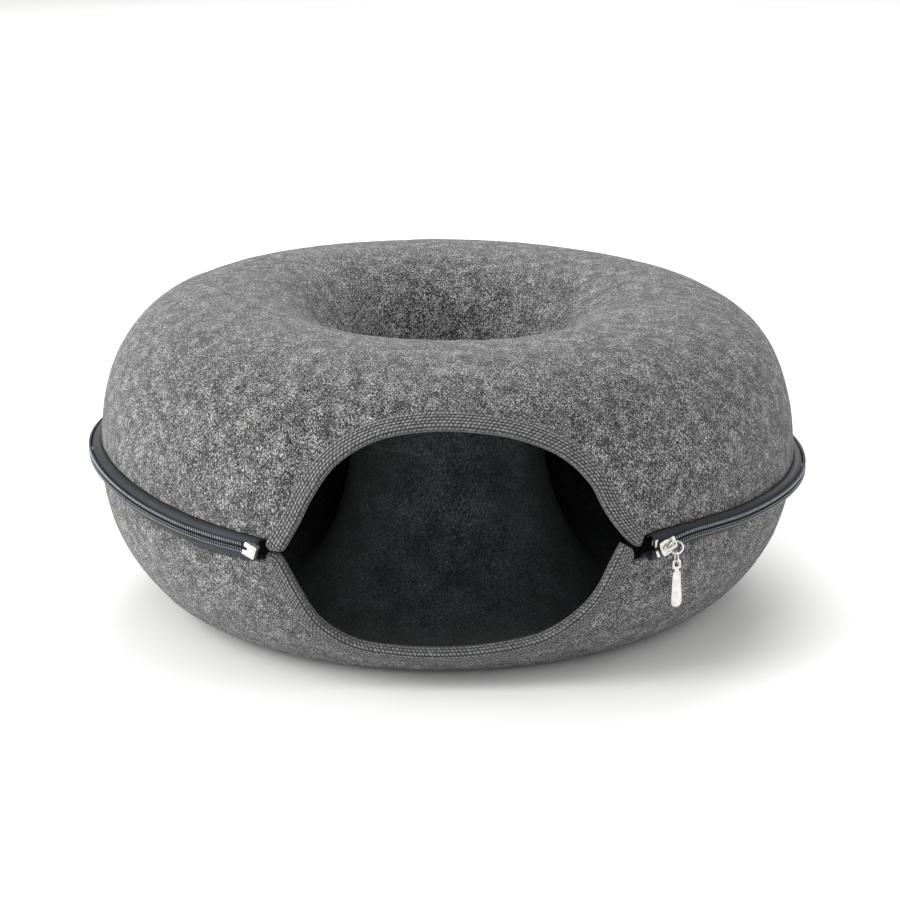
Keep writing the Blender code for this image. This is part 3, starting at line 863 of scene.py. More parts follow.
def row_tree(name: str, finish: bpy.types.Material) -> bpy.types.NodeTree:
    """A tree that sets rounded bars along a path round the ring, such as coil turns or stitches.

    Args:
        name: tree name.
        finish: the bars' material.

    Returns:
        A tree with inputs Pitch, Length, Width, Height, Lean and Axis Y, and a fixed seed for unevenness.
    """
    tree, given = open_tree(name, ("Pitch", "Length", "Width", "Height", "Lean", "Axis Y"))
    run = {"Curve": given["Geometry"], "Length": given["Pitch"]}
    points = add_node(tree, "GeometryNodeCurveToPoints", None, run, mode="LENGTH")
    spot = add_node(tree, "GeometryNodeInputPosition")
    axis = add_node(tree, "ShaderNodeCombineXYZ", None, {"Y": given["Axis Y"]})
    spoke = add_node(tree, "ShaderNodeVectorMath", None, {0: spot, 1: axis}, operation="SUBTRACT")
    outward = add_node(tree, "ShaderNodeVectorMath", {1: (1.0, 1.0, 0.0)}, {0: spoke}, operation="MULTIPLY")
    align = "FunctionNodeAlignRotationToVector"
    along = add_node(tree, align, None, {"Vector": points.outputs["Tangent"]}, axis="X")
    facing = add_node(tree, align, None, {"Rotation": along, "Vector": outward}, axis="Z", pivot_axis="X")
    sway = add_node(tree, "FunctionNodeRandomValue", {2: -0.05, 3: 0.05, "Seed": 11}, data_type="FLOAT")
    lean = add_node(tree, "ShaderNodeMath", None, {0: sway.outputs[1], 1: given["Lean"]}, operation="ADD")
    turn = add_node(tree, "ShaderNodeCombineXYZ", None, {"Z": lean})
    turned = {"Rotation": facing, "Rotate By": turn}
    leaning = add_node(tree, "FunctionNodeRotateRotation", None, turned, rotation_space="LOCAL")
    extent = {"X": given["Length"], "Y": given["Width"], "Z": given["Height"]}
    size = add_node(tree, "ShaderNodeCombineXYZ", None, extent)
    bar = add_node(tree, "GeometryNodeMeshCube", None, {"Size": size})
    rounded = add_node(tree, "GeometryNodeSubdivisionSurface", {"Level": 1}, {"Mesh": bar})
    smooth = add_node(tree, "GeometryNodeSetShadeSmooth", None, {0: rounded})
    placed = {"Points": points, "Instance": smooth, "Rotation": leaning}
    return close_tree(tree, add_node(tree, "GeometryNodeInstanceOnPoints", None, placed), finish)


def nap_tree(name: str, finish: bpy.types.Material) -> bpy.types.NodeTree:
    """A tree that scatters short bent fibres over a felt half's outside.

    Args:
        name: tree name.
        finish: the fibres' material.

    Returns:
        A tree with inputs Density, Length, Width and Bow, and fixed seeds.
    """
    tree, given = open_tree(name, ("Density", "Length", "Width", "Bow"))
    outside = add_node(tree, "GeometryNodeInputNamedAttribute", {"Name": "outside"}, data_type="FLOAT")
    ground = {"Mesh": given["Geometry"], "Density": given["Density"], "Selection": outside}
    scatter = "GeometryNodeDistributePointsOnFaces"
    spots = add_node(tree, scatter, {"Seed": 5}, ground, distribute_method="RANDOM")
    size = {"Size X": given["Length"], "Size Y": given["Width"]}
    strip = add_node(tree, "GeometryNodeMeshGrid", {"Vertices X": 4, "Vertices Y": 2}, size)
    spot = add_node(tree, "GeometryNodeInputPosition")
    parts = add_node(tree, "ShaderNodeSeparateXYZ", None, {0: spot})
    maths = "ShaderNodeMath"
    share = add_node(tree, maths, None, {0: parts, 1: given["Length"]}, operation="DIVIDE")
    square = add_node(tree, maths, None, {0: share, 1: share}, operation="MULTIPLY")
    arch = add_node(tree, maths, {1: -4.0, 2: 0.7}, {0: square}, operation="MULTIPLY_ADD")
    bow = add_node(tree, maths, None, {0: arch, 1: given["Bow"]}, operation="MULTIPLY")
    side = add_node(tree, maths, {1: 1.6}, {0: bow}, operation="MULTIPLY")
    shift = add_node(tree, "ShaderNodeCombineXYZ", None, {"Y": side, "Z": bow})
    bent = add_node(tree, "GeometryNodeSetPosition", None, {0: strip, "Offset": shift})
    ways = {0: (0.0, -0.25, 0.0), 1: (0.0, 0.25, 6.283), "Seed": 7}
    turn = add_node(tree, "FunctionNodeRandomValue", ways, data_type="FLOAT_VECTOR")
    turned = {"Rotation": spots.outputs["Rotation"], "Rotate By": turn}
    laid = add_node(tree, "FunctionNodeRotateRotation", None, turned, rotation_space="LOCAL")
    lengths = {2: 0.45, 3: 1.3, "Seed": 9}
    length = add_node(tree, "FunctionNodeRandomValue", lengths, data_type="FLOAT").outputs[1]
    placed = {"Points": spots, "Instance": bent, "Rotation": laid, "Scale": length}
    return close_tree(tree, add_node(tree, "GeometryNodeInstanceOnPoints", None, placed), finish)


@dataclass(frozen=True)
class BarRow:
    """A row of rounded bars along a path, such as coil turns or stitches.

    Rounding makes a bar smaller than its sizes here, so a swell in the pieces' own sizes makes up for it.
    """

    pitch: float
    length: float
    width: float
    height: float
    lean: float = 0.0

    def build(
        self, name: str, points: np.ndarray, finish: bpy.types.Material, axis_y: float
    ) -> bpy.types.Mesh:
        """Set the bars along a path.

        Args:
            name: name of the mesh.
            points: the path's points.
            finish: the bars' material.
            axis_y: Y of the axis that they face away from.

        Returns:
            The bars' mesh.
        """
        sizes = {"Pitch": self.pitch, "Length": self.length, "Width": self.width, "Height": self.height}
        sizes |= {"Lean": self.lean, "Axis Y": axis_y}
        return bake_tree(poly_curve(f"{name}_path", [points]), row_tree(f"{name}_row", finish), sizes, name)


# ---------------------------------------------------------------- cloth


@dataclass
class MouldedFelt:
    """One felt half: a heat-moulded shell of 4 mm felt with rounded edges and soft unevenness."""

    ring: Ring
    door: Doorway
    half: Half
    door_stations: int = 150
    back_stations: int = 190
    rows: int = 74
    edge_inset: float = 0.0015
    edge_round: float = 0.0012
    dent_height: float = 0.0009
    dent_size: float = 0.055
    ripple_height: float = 0.0004
    ripple_size: float = 0.016
    fibre_density: float = 56000.0
    fibre_length: float = 0.0036
    fibre_width: float = 0.00016
    fibre_bow: float = 0.0005
    edge_points: int = 5
    start_fade: tuple[float, float] = (0.010, 0.035)
    end_fade: tuple[float, float] = (0.012, 0.035)
    foot_fade: tuple[float, float] = (0.004, 0.02)
    blank_upper: float = 0.62
    blank_lower: float = 0.60
    moulding_stretch: float = 1.1

    def columns(self, skin: Skin) -> tuple[np.ndarray, np.ndarray]:
        """Bearings round the ring and the reach where the felt starts at each.

        Args:
            skin: the half's skin.

        Returns:
            Bearings and starts.
        """
        bearings, reaches, _, _ = self.door.edge(self.half, self.door_stations, self.edge_inset)
        keep = np.concatenate([[True], np.diff(np.maximum.accumulate(bearings)) > 1e-4])
        bearings, reaches = bearings[keep], reaches[keep]
        starts = np.maximum(reaches, skin.felt_edge(bearings))
        back = np.linspace(bearings[-1], bearings[0] + 360.0, self.back_stations + 2)[1:-1]
        return np.concatenate([bearings, back]), np.concatenate([starts, skin.felt_edge(back)])

    def section(self, skin: Skin, start: float) -> tuple[np.ndarray, np.ndarray, np.ndarray]:
        """One section's reaches and lifts, round both faces and both edges.

        Args:
            skin: the half's skin.
            start: reach of its first edge.

        Returns:
            Reaches, lifts, and a number that is 1 on the outside and 0 elsewhere.
        """
        felt, bulge = self.ring.felt, self.edge_round
        run = np.linspace(start + bulge, skin.end - bulge, self.rows)
        turn = np.linspace(0.0, math.pi, self.edge_points + 2)[1:-1]
        end_reach = skin.end - bulge + bulge * np.sin(turn)
        start_reach = start + bulge - bulge * np.sin(turn)
        end_lift = -felt / 2 + felt / 2 * np.cos(turn)
        reach = np.concatenate([run, end_reach, run[::-1], start_reach])
        lift = np.concatenate([np.zeros(self.rows), end_lift, np.full(self.rows, -felt), end_lift[::-1]])
        return reach, lift, np.repeat([1.0, 0.0], [self.rows, self.rows + 2 * self.edge_points])

    def rise(self, spots: np.ndarray, strength: np.ndarray) -> np.ndarray:
        """Soft dents and ripples of the moulded felt.

        Args:
            spots: points, one row each.
            strength: 0 to 1 for each.

        Returns:
            Lift of each point off its skin.
        """
        lifts = np.zeros(len(spots))
        for row, (spot, share) in enumerate(zip(spots, strength)):
            if share > 0.01:
                dent = noise.noise(Vector(spot) / self.dent_size) * self.dent_height
                ripple = noise.noise(Vector(spot) / self.ripple_size + Vector((7.0, 3.0, 1.0)))
                lifts[row] = share * (dent + ripple * self.ripple_height)
        return lifts

    def build(self) -> None:
        """Make the half, its two faces and its loose fibres."""
        skin = Skin(self.ring, self.half)
        sections, outsides = [], []
        for bearing, start in zip(*self.columns(skin)):
            reach, lift, outside = self.section(skin, start)
            spots = self.ring.place(bearing, *skin.at(reach, lift))
            strength = ease(reach, *(start + fade for fade in self.start_fade))
            strength = strength * ease(-reach, *(fade - skin.end for fade in self.end_fade))
            if self.half is Half.LOWER:
                strength = strength * ease(spots[:, 2], *self.foot_fade)
            spots = self.ring.place(bearing, *skin.at(reach, lift + self.rise(spots, strength)))
            spots[:, 2] = np.maximum(spots[:, 2], 0.0)
            sections.append(spots)
            outsides.append(outside * (spots[:, 2] > self.foot_fade[0]))
        name = f"moulded_felt_{self.half.word}"
        mesh = grid_mesh(name, np.array(sections), around=True)
        mark_points(mesh, "outside", outsides)
        count, half_edge = len(outsides[0]), self.edge_points // 2
        first, last = self.rows + half_edge, 2 * self.rows + self.edge_points + half_edge
        # faces on the tunnel side take the felt darkened with painted shade
        for face in mesh.polygons:
            inward = [index % count for index in face.vertices]
            pressed = min(inward) >= first and max(inward) <= last
            face.material_index = FeltFace.PAINTED_SHADE_INSIDE.value if pressed else FeltFace.NAPPED.value
        felt = settle(name, mesh, f"felt_{self.half.word}", "grey_felt", NAPPED, PAINTED_SHADE_INSIDE)
        self.nap(mesh, name)

    def nap(self, mesh: bpy.types.Mesh, name: str) -> None:
        """Lay loose fibres over the felt's outside.

        Args:
            mesh: the felt's mesh.
            name: the felt's name.
        """
        sizes = {"Density": self.fibre_density, "Length": self.fibre_length}
        sizes |= {"Width": self.fibre_width, "Bow": self.fibre_bow}
        carrier = put(f"{name}_carrier", mesh.copy())
        fibres = bake_tree(carrier, nap_tree(f"{name}_nap", FIBRE), sizes, f"{name}_fibres")
        settle(f"{name}_fibres", fibres, None, "grey_felt")


@dataclass
class BoundEdge:
    """Webbing folded over one half's doorway edge, woven in ribs, with a row of stitches along its leg."""

    ring: Ring
    door: Doorway
    half: Half
    level_start: bool
    stations: int = 520
    width: float = 0.0118
    thickness: float = 0.0010
    clearance: float = 0.0009
    fold_depth: float = 0.0030
    rib_width: float = 0.00200
    dot_pitch: float = 0.0029
    rib_height: float = 0.00038
    end_round: float = 0.0055
    end_narrowing: float = 0.42
    end_pressing: float = 0.12
    seam_inset: float = 0.0016
    seam_sink: float = 0.55
    stitch_pitch: float = 0.0030
    stitch_length: float = 0.0023
    stitch_width: float = 0.00055
    stitch_swell: float = 1.5

    def path(self) -> np.ndarray:
        """The fold's section from the outer leg's edge, round the felt, to the inner leg's edge.

        Returns:
            Rows of (distance from the fold, lift) on the webbing's middle.
        """
        outer = self.clearance + self.thickness / 2
        inner = -self.ring.felt - outer
        middle, half_gap = (outer + inner) / 2, (outer - inner) / 2
        deep = self.fold_depth - self.thickness / 2
        turn = np.linspace(0.0, math.pi, 14)
        bend = np.column_stack([self.fold_depth - deep * np.sin(turn), middle + half_gap * np.cos(turn)])
        leg = np.linspace(self.width, self.fold_depth, 36)[:-1]
        back = np.linspace(self.fold_depth, self.width, 12)[1:]
        outer_leg = np.column_stack([leg, np.full_like(leg, outer)])
        inner_leg = np.column_stack([back, np.full_like(back, inner)])
        return np.vstack([outer_leg, bend, inner_leg])

    def weave(self, across: np.ndarray, along: np.ndarray) -> np.ndarray:
        """Height of the weave, 0 in the grooves to 1 on the yarn.

        Args:
            across: metres over the webbing.
            along: metres along it.

        Returns:
            Heights on the grid of both.
        """
        rib = across / self.rib_width
        number = np.floor(rib)
        over = np.abs(np.sin(math.pi * (rib - number))) ** 0.8
        slant = (rib - number - 0.5) * 0.45
        beat = along[:, None] / self.dot_pitch + (number % 2)[None, :] * 0.5 + slant[None, :]
        dots = 0.5 + 0.5 * np.cos(2 * math.pi * beat)
        return over[None, :] * (0.45 + 0.55 * dots)

    def over_skin(self, skin: Skin, spot: tuple, distance: Numbers, lift: Numbers) -> np.ndarray:
        """Points of the webbing, counted from the fold into the felt.

        Args:
            skin: the half's skin.
            spot: bearing, reach and direction into the felt at the fold, or rows of each.
            distance: metres from the fold.
            lift: metres off the skin.

        Returns:
            The points.
        """
        bearing, reach, away = spot
        where = bearing + np.degrees(away[..., 0] * distance / self.ring.widest_radius)
        return self.ring.place(where, *skin.at(reach + away[..., 1] * distance, lift))

    def build(self) -> None:
        """Make the webbing and its stitches."""
        skin = Skin(self.ring, self.half)
        bearings, reaches, away, length = self.door.edge(self.half, self.stations)
        levelled = self.stations // 9
        for k in range(levelled if self.level_start else 0):
            flat = np.array([math.copysign(1.0 / max(abs(away[k][0]), 0.3), away[k][0]), 0.0])
            away[k] = away[k] + (flat - away[k]) * (1.0 - k / levelled)
        route = self.path()
        step = unit(np.gradient(route, axis=0))
        out = np.column_stack([-step[:, 1], step[:, 0]]) * np.sign(step[0, 0])
        across = distances(route)
        along = np.linspace(0.0, length, self.stations)
        woven = self.weave(across, along)
        near = np.clip(1.0 - np.minimum(along, length - along) / self.end_round, 0.0, 1.0)
        sections, heights = [], []
        for i in range(self.stations):
            raised = route + out * (self.thickness / 2 + woven[i][:, None] * self.rib_height)
            under = route - out * self.thickness / 2
            distance, lift = np.vstack([raised, under[::-1]]).T
            distance = distance * (1.0 - self.end_narrowing * near[i] ** 2.2)
            lift = lift * (1.0 - self.end_pressing * near[i] ** 2)
            sections.append(self.over_skin(skin, (bearings[i], reaches[i], away[i]), distance, lift))
            heights.append(np.concatenate([woven[i], np.zeros(len(under))]))
        name = f"webbing_binding_{self.half.word}"
        mesh = grid_mesh(name, np.array(sections), around=False)
        mark_points(mesh, "weave", heights)
        piece = settle(name, mesh, f"binding_{self.half.word}", "webbing", WOVEN)
        picks = slice(6, self.stations - 6, 3)
        stitches = self.stitches(skin, (bearings[picks], reaches[picks], away[picks]), f"{name}_stitches")

    def stitches(self, skin: Skin, spots: tuple, name: str) -> bpy.types.Object:
        """The seam that holds the webbing to the felt.

        Args:
            skin: the half's skin.
            spots: bearings, reaches and directions into the felt along the fold.
            name: the stitches' name.

        Returns:
            The stitches' object.
        """
        lift = self.clearance + self.thickness + self.rib_height * self.seam_sink
        points = self.over_skin(skin, spots, self.width - self.seam_inset, lift)
        thick = self.stitch_width * self.stitch_swell
        row = BarRow(self.stitch_pitch, self.stitch_length, thick, thick)
        return settle(name, row.build(name, points, SEAM, self.ring.axis_y), None, "webbing")


# ---------------------------------------------------------------- the zip


@dataclass
class ZipChain:
    """The zip round the ring: two tapes, two rows of coil turns, the stitches that hold them and a row of
    painted glints.
    """

    ring: Ring
    tape_thickness: float = 0.001
    tape_clearance: float = 0.0006
    tape_hidden: float = 0.0085
    tape_bend: float = 0.0012
    tape_fall: float = 0.0006
    tape_bulge: float = 0.0009
    stand_out: float = 0.0058
    coil_width: float = 0.0033
    coil_depth: float = 0.0022
    clearance: float = 0.0004
    parting: float = 0.0002
    spread_start: float = 35.1
    spread_per_degree: float = 0.0009
    upper_ends: tuple[float, float] = (-29.4, 32.0)
    lower_ends: tuple[float, float] = (-30.0, 31.75)
    coil_ends: tuple[float, float] = (-31.65, 34.2)
    stations: int = 400
    path_step: float = 0.4
    turn_middle: float = 0.42
    turn_swell: tuple[float, float, float] = (1.25, 1.2, 1.1)
    stitch_swell: float = 1.3
    turn_lean: float = 0.12
    stitch_lean: float = 0.18
    turn_pitch: float = 0.00190
    turn_length: float = 0.00140
    stitch_pitch: float = 0.00190
    stitch_length: float = 0.00085
    stitch_height: float = 0.0006
    stitch_and_glint_rows: tuple = (
        # (half, metres from the middle line, metres across)
        (Half.UPPER, 0.0021, 0.0030),
        # painted glint: pale dots on the lower coil's heads, drawn like stitches
        (Half.LOWER, 0.0007, 0.0010),
        (Half.LOWER, 0.0025, 0.0015),
    )

    def spread(self, bearing: Numbers) -> Numbers:
        """How far each side stands from the middle line where the slider parts them.

        Args:
            bearing: degrees.

        Returns:
            Metres from the middle line.
        """
        bearing = wrap(bearing)
        opening = np.where((bearing > 0) & (bearing < self.spread_start), self.spread_start - bearing, 0.0)
        return self.parting + opening * self.spread_per_degree

    def bearings(self, ends: tuple[float, float], count: int) -> np.ndarray:
        """Bearings from the +X end round the back to the -X end."""
        return np.linspace(ends[1], ends[0] + 360.0, count)

    def tape_line(self, gap: float) -> tuple[np.ndarray, np.ndarray, np.ndarray]:
        """A tape's middle, from behind the felt to the chain's middle line.

        Args:
            gap: height between that line and the felt's edge.

        Returns:
            Rows of (stand-out, height), the share of the spread each takes, and the run to each.
        """
        behind = -self.ring.felt - self.tape_clearance - self.tape_thickness / 2
        fall = self.stand_out - self.tape_fall
        table = np.array(
            [
                # (stand-out, height from the middle line, share of the spread)
                (behind, gap + self.tape_hidden, 0.0),
                (behind, gap + self.tape_hidden / 2, 0.0),
                (behind, gap, 0.0),
                (behind + self.tape_bend, gap - self.tape_bend, 0.0),
                (fall - 0.0016, (gap + self.coil_width) / 2 + self.tape_bulge, 0.5),
                (fall, self.coil_width + self.clearance, 0.8),
                (self.stand_out, self.coil_width * 0.5, 1.0),
                (self.stand_out, 0.0, 1.0),
            ]
        )
        knots = table[:, :2]
        line, fine = smooth_line(knots, 30)
        return line, np.interp(fine, distances(knots), table[:, 2]), fine

    def tape(self, half: Half) -> None:
        """Make one tape, from behind the felt to the coil.

        Args:
            half: which half it is sewn to.
        """
        skin = Skin(self.ring, half)
        ends = self.upper_ends if half is Half.UPPER else self.lower_ends
        sections, lies, widths = [], [], []
        for bearing in self.bearings(ends, self.stations):
            line, part, fine = self.tape_line(self.ring.felt_gap(half, bearing))
            step = unit(np.gradient(line, axis=0))
            side = np.column_stack([step[:, 1], -step[:, 0]]) * self.tape_thickness / 2
            out, up = np.vstack([line + side, (line - side)[::-1]]).T
            part, lie = np.concatenate([part, part[::-1]]), np.concatenate([fine, fine[::-1]])
            middle = self.ring.zip_height(bearing)
            radius, height = skin.at(up + half.value * (middle - self.ring.widest_height), out)
            free_height = middle + half.value * (up + part * self.spread(bearing))
            blend = ease(part, 0.0, 0.5)
            radius = radius + (self.ring.widest_radius + out - radius) * blend
            height = height + (free_height - height) * blend
            sections.append(self.ring.place(bearing, radius, height))
            along = np.full_like(lie, math.radians(bearing) * self.ring.widest_radius)
            lies.append(np.column_stack([along, lie, np.zeros_like(lie)]))
            widths.append(float(fine[-1]))
        mesh = grid_mesh(f"tape_{half.word}", np.array(sections), around=False)
        mark_points(mesh, "lie", lies)
        piece = settle(f"tape_{half.word}", mesh, f"zip_tape_{half.word}", "zip_tape", ZIP_CLOTH)

    def line_points(self, ends: tuple[float, float], half: Half, out: float, up: float) -> np.ndarray:
        """Points of a path along the chain.

        Args:
            ends: its bearings.
            half: which side of the middle line.
            out: metres off the widest radius.
            up: metres from the middle line, before the spread.

        Returns:
            The points.
        """
        bearings = self.bearings(ends, int((ends[0] + 360.0 - ends[1]) / self.path_step))
        height = self.ring.zip_height(bearings) + half.value * (up + self.spread(bearings))
        return self.ring.place(bearings, self.ring.widest_radius + out, height)

    def coil(self, half: Half) -> None:
        """Make one row of coil turns, as bars lying across the tape's edge.

        Args:
            half: which side.
        """
        out = self.coil_face() - self.coil_depth + self.coil_depth * self.turn_middle
        points = self.line_points(self.coil_ends, half, out, self.coil_width / 2)
        real = (self.turn_length, self.coil_width, self.coil_depth)
        size = (side * swell for side, swell in zip(real, self.turn_swell))
        row = BarRow(self.turn_pitch, *size, -half.value * self.turn_lean)
        name = f"coil_turns_{half.word}"
        settle(name, row.build(name, points, COIL, self.ring.axis_y), f"zip_coil_{half.word}", "zip_nylon")

    def coil_face(self) -> float:
        """How far out the coil's outside stands."""
        return self.stand_out + self.tape_thickness / 2 + self.clearance + self.coil_depth

    def stitches(self, number: int) -> None:
        """Make one line of pale bars, one over each turn: the lockstitch that holds the coil, and in the
        second row painted glints on the lower coil's heads.

        Args:
            number: which of the rows of stitches and painted glints.
        """
        half, offset, across = self.stitch_and_glint_rows[number]
        ends = (self.coil_ends[0] - 0.4, self.coil_ends[1] + 1.6)
        points = self.line_points(ends, half, self.coil_face() - 0.0001, offset)
        size = (self.stitch_length, across, self.stitch_height * self.stitch_swell)
        row = BarRow(self.stitch_pitch, *size, half.value * self.stitch_lean)
        name = f"chain_stitches_{number}"
        settle(name, row.build(name, points, CHAIN_THREAD_AND_GLINT, self.ring.axis_y), None, "zip_nylon")

    def build(self) -> None:
        """Make both tapes, both coil rows, their stitches and the row of painted glints."""
        for half in Half:
            self.tape(half)
            self.coil(half)
        for number in range(len(self.stitch_and_glint_rows)):
            self.stitches(number)


# ---------------------------------------------------------------- metalwork


def stamped(name: str, loops: list, thick: float, bevel: float, axes: Matrix) -> bpy.types.Mesh:
    """A flat plate with rounded edges, cut to one or more closed outlines.

    Args:
        name: mesh name.
        loops: closed outlines of (x, y); those inside another are holes.
        thick: the plate's thickness.
        bevel: radius of its edges.
        axes: from the plate's own X, Y and thickness axes to the bed's.

    Returns:
        The plate's mesh, in place.
    """
    carrier = poly_curve(name, loops, closed=True)
    curve = carrier.data
    curve.fill_mode = "BOTH"
    curve.extrude = thick / 2 - bevel
    curve.bevel_depth = bevel
    curve.bevel_resolution = 3
    curve.offset = -bevel
    mesh = evaluated(carrier, name)
    mesh.transform(axes)
    face_outwards(mesh, weld=1e-6)
    mesh.set_sharp_from_angle(angle=math.radians(35))
    return mesh


def wire(name: str, centres: np.ndarray, normal: Vector, radius: float, sides: int = 14) -> bpy.types.Mesh:
    """Round wire bent into a closed flat loop.

    Args:
        name: mesh name.
        centres: points round the loop.
        normal: unit vector across the loop's plane.
        radius: the wire's radius.
        sides: points round the wire.

    Returns:
        The wire's mesh.
    """
    tangent = unit(np.roll(centres, -1, axis=0) - np.roll(centres, 1, axis=0))
    across = np.cross(tangent, np.array(normal))[:, None, :]
    turn = np.linspace(0.0, 2 * math.pi, sides, endpoint=False)[None, :, None]
    spokes = across * np.cos(turn) + np.array(normal) * np.sin(turn)
    return grid_mesh(name, centres[:, None, :] + spokes * radius, around=True)


def joined(name: str, meshes: list) -> bpy.types.Mesh:
    """Put several meshes into one.

    Args:
        name: name of the new mesh.
        meshes: the parts, in place.

    Returns:
        One mesh.
    """
    form = bmesh.new()
    for part in meshes:
        form.from_mesh(part)
    mesh = bpy.data.meshes.new(name)
    form.to_mesh(mesh)
    form.free()
    return mesh


def rounded_outline(corners: list, radius: float, steps: int = 5) -> list:
    """Round the corners of a closed outline.

    Args:
        corners: its corners in order.
        radius: corner radius, cut down where a side is short.
        steps: points to a corner.

    Returns:
        The rounded outline.
    """
    smooth = []
    for i in range(len(corners)):
        before, here, after = (np.array(corners[k % len(corners)]) for k in (i - 1, i, i + 1))
        sides = (before - here, after - here)
        reach = min(radius, *(np.linalg.norm(side) * 0.45 for side in sides))
        start, end = (here + side / np.linalg.norm(side) * reach for side in sides)
        for t in np.linspace(0.0, 1.0, steps):
            smooth.append(tuple((1 - t) ** 2 * start + 2 * t * (1 - t) * here + t * t * end))
    return smooth


@dataclass
class ZipHardware:
    """The zip's nickel-plated parts: retainer box, end clips, slider and pull."""

    ring: Ring
    chain: ZipChain
    box_bearing: float = -30.15
    box_tilt: float = 20.0
    slider_bearing: float = 34.0
    slider_tilt: float = -22.0
    stop_bearing: float = 32.15
    box: tuple[float, float, float] = (0.0095, 0.0090, 0.0048)
    notch: tuple[float, float] = (0.0030, 0.0022)
    box_pad: tuple[float, float, float, float] = (-0.0006, -0.0030, 0.0036, 0.0030)
    slider_plate: float = 0.0013
    slider_length: float = 0.0130
    inner_plate: tuple[float, float, float] = (0.0124, 0.0042, 0.0012)
    inner_gap: float = 0.0009
    post: tuple[float, float, float, float] = (0.0012, 0.0022, 0.0002, 0.0020)
    stop: tuple[float, float, float] = (0.0022, 0.0034, 0.0044)
    bridge_width: float = 0.0019
    bridge_rise: float = 0.0030
    bridge_thickness: float = 0.0011
    bridge_reach: float = 0.0050
    ring_radius: float = 0.0042
    ring_wire: float = 0.0007
    ring_depth: float = 0.00115
    ring_lean: float = 34.0
    ring_tilt_out: float = 30.0
    link_half: tuple[float, float] = (0.0023, 0.0042)
    link_wire: float = 0.0005
    tab_facing: float = 24.0
    tab_thickness: float = 0.0013
    tab_head: tuple[float, float, float] = (0.0062, 0.0062, 0.0016)
    tab_neck: tuple[float, float] = (0.0032, 0.0018)
    tab_plate: tuple[float, float, float] = (0.0246, 0.0056, 0.0080)
    shield: tuple = (
        # (along, half width)
        (-0.0065, 0.0031),
        (-0.0049, 0.0056),
        (-0.0007, 0.0054),
        (0.0023, 0.0041),
        (0.0065, 0.0045),
    )

    def facing_out(self, frame_at: Matrix, depth: float) -> Matrix:
        """From a plate's axes to a zip frame's, its middle at a depth counted outwards."""
        return frame_at @ Matrix(((1, 0, 0, 0), (0, 0, -1, -depth), (0, 1, 0, 0), (0, 0, 0, 1)))

    def metal(self, name: str, node: str, *parts: bpy.types.Mesh) -> None:
        """Settle meshes as one nickel-plated piece."""
        settle(name, joined(name, parts), node, "nickel_plate", METAL)

    def retainer_box(self) -> None:
        """Make the box at the chain's end, notched towards the chain, with a pressed rim on its face."""
        length, height, depth = self.box
        deep, half_n = self.notch[0], self.notch[1] / 2
        left, half_h = -length / 2, height / 2
        outline = rectangle(left, -half_h, -left, half_h)[1:]
        outline += [(left, half_n), (left + deep, half_n), (left + deep, -half_n)]
        outline += [(left, -half_n), (left, -half_h)]
        inner = self.chain.coil_face() - self.chain.coil_depth
        at = self.ring.zip_frame(self.box_bearing, self.box_tilt)
        middle, face = self.facing_out(at, inner + depth / 2), self.facing_out(at, inner + depth)
        body = stamped("box_body", [rounded_outline(outline, 0.0009)], depth, 0.0004, middle)
        pad = stamped("box_face", [rounded_outline(rectangle(*self.box_pad), 0.0009)], 0.0008, 0.0003, face)
        self.metal("retainer_box", "zip_box", body, pad)

    def end_clip(self, half: Half) -> None:
        """Make a C-shaped clip pressed over a tape's edge.

        Args:
            half: which tape.
        """
        length, height, depth = self.stop
        chain = self.chain
        edge = float(chain.spread(self.stop_bearing))
        half_gap = chain.tape_thickness / 2 + chain.tape_clearance
        inner, outer = chain.stand_out - half_gap, chain.stand_out + half_gap
        wall = (depth - (outer - inner)) / 2
        low, high, short = edge - chain.clearance - wall, edge + height, edge + height - 0.0012
        profile = [(inner - wall, low), (outer + wall, low), (outer + wall, high), (outer, high)]
        profile += [(outer, edge - chain.clearance), (inner, edge - chain.clearance)]
        profile += [(inner, short), (inner - wall, short)]
        near, far = (self.ring.zip_height(self.stop_bearing + k) for k in (-0.5, 0.5))
        rise = far - near - half.value * chain.spread_per_degree
        slope = math.degrees(math.atan2(rise, math.radians(1.0) * self.ring.widest_radius))
        turn = Matrix(((0, 0, 1, 0), (-1, 0, 0, 0), (0, half.value, 0, 0), (0, 0, 0, 1)))
        at = self.ring.zip_frame(self.stop_bearing, -slope) @ turn
        name = f"end_clip_{half.word}"
        clip = stamped(name, [rounded_outline(profile, 0.0004)], length, 0.00018, at)
        settle(name, clip, f"zip_stop_{half.word}", "nickel_plate", METAL)

    def slider(self) -> None:
        """Make the slider: shield, inner plate, post and the arched bridge that the pull hangs from."""
        at = self.ring.zip_frame(self.slider_bearing, self.slider_tilt)
        plate = self.slider_plate
        plate_in = self.chain.coil_face() + self.chain.clearance
        plate_out = plate_in + plate
        shield = [(along, -wide) for along, wide in self.shield]
        shield += [(along, wide) for along, wide in reversed(self.shield)]
        mouth_end = -self.slider_length / 2
        long, wide, thick = self.inner_plate
        inner = rectangle(mouth_end, -wide / 2, mouth_end + long, wide / 2)
        back, length, low, high = self.post
        post = rectangle(mouth_end + back, low, mouth_end + back + length, high)
        bottom = self.chain.stand_out - self.chain.tape_thickness / 2 - self.inner_gap - thick / 2
        top = plate_out - plate / 3
        rows = (
            # (name, outline, thickness, edge radius, how far out its middle stands)
            ("shield", rounded_outline(shield, 0.0022, 7), plate, 0.0004, plate_in + plate / 2),
            ("inner_plate", rounded_outline(inner, 0.0010), thick, 0.0003, bottom),
            ("post", rounded_outline(post, 0.0005), top - bottom, 0.0002, (top + bottom) / 2),
        )
        parts = []
        for name, outline, deep, edge, out in rows:
            parts.append(stamped(name, [outline], deep, edge, self.facing_out(at, out)))
        self.metal("zip_slider", "slider_body", *parts, self.bridge(at, plate_out))

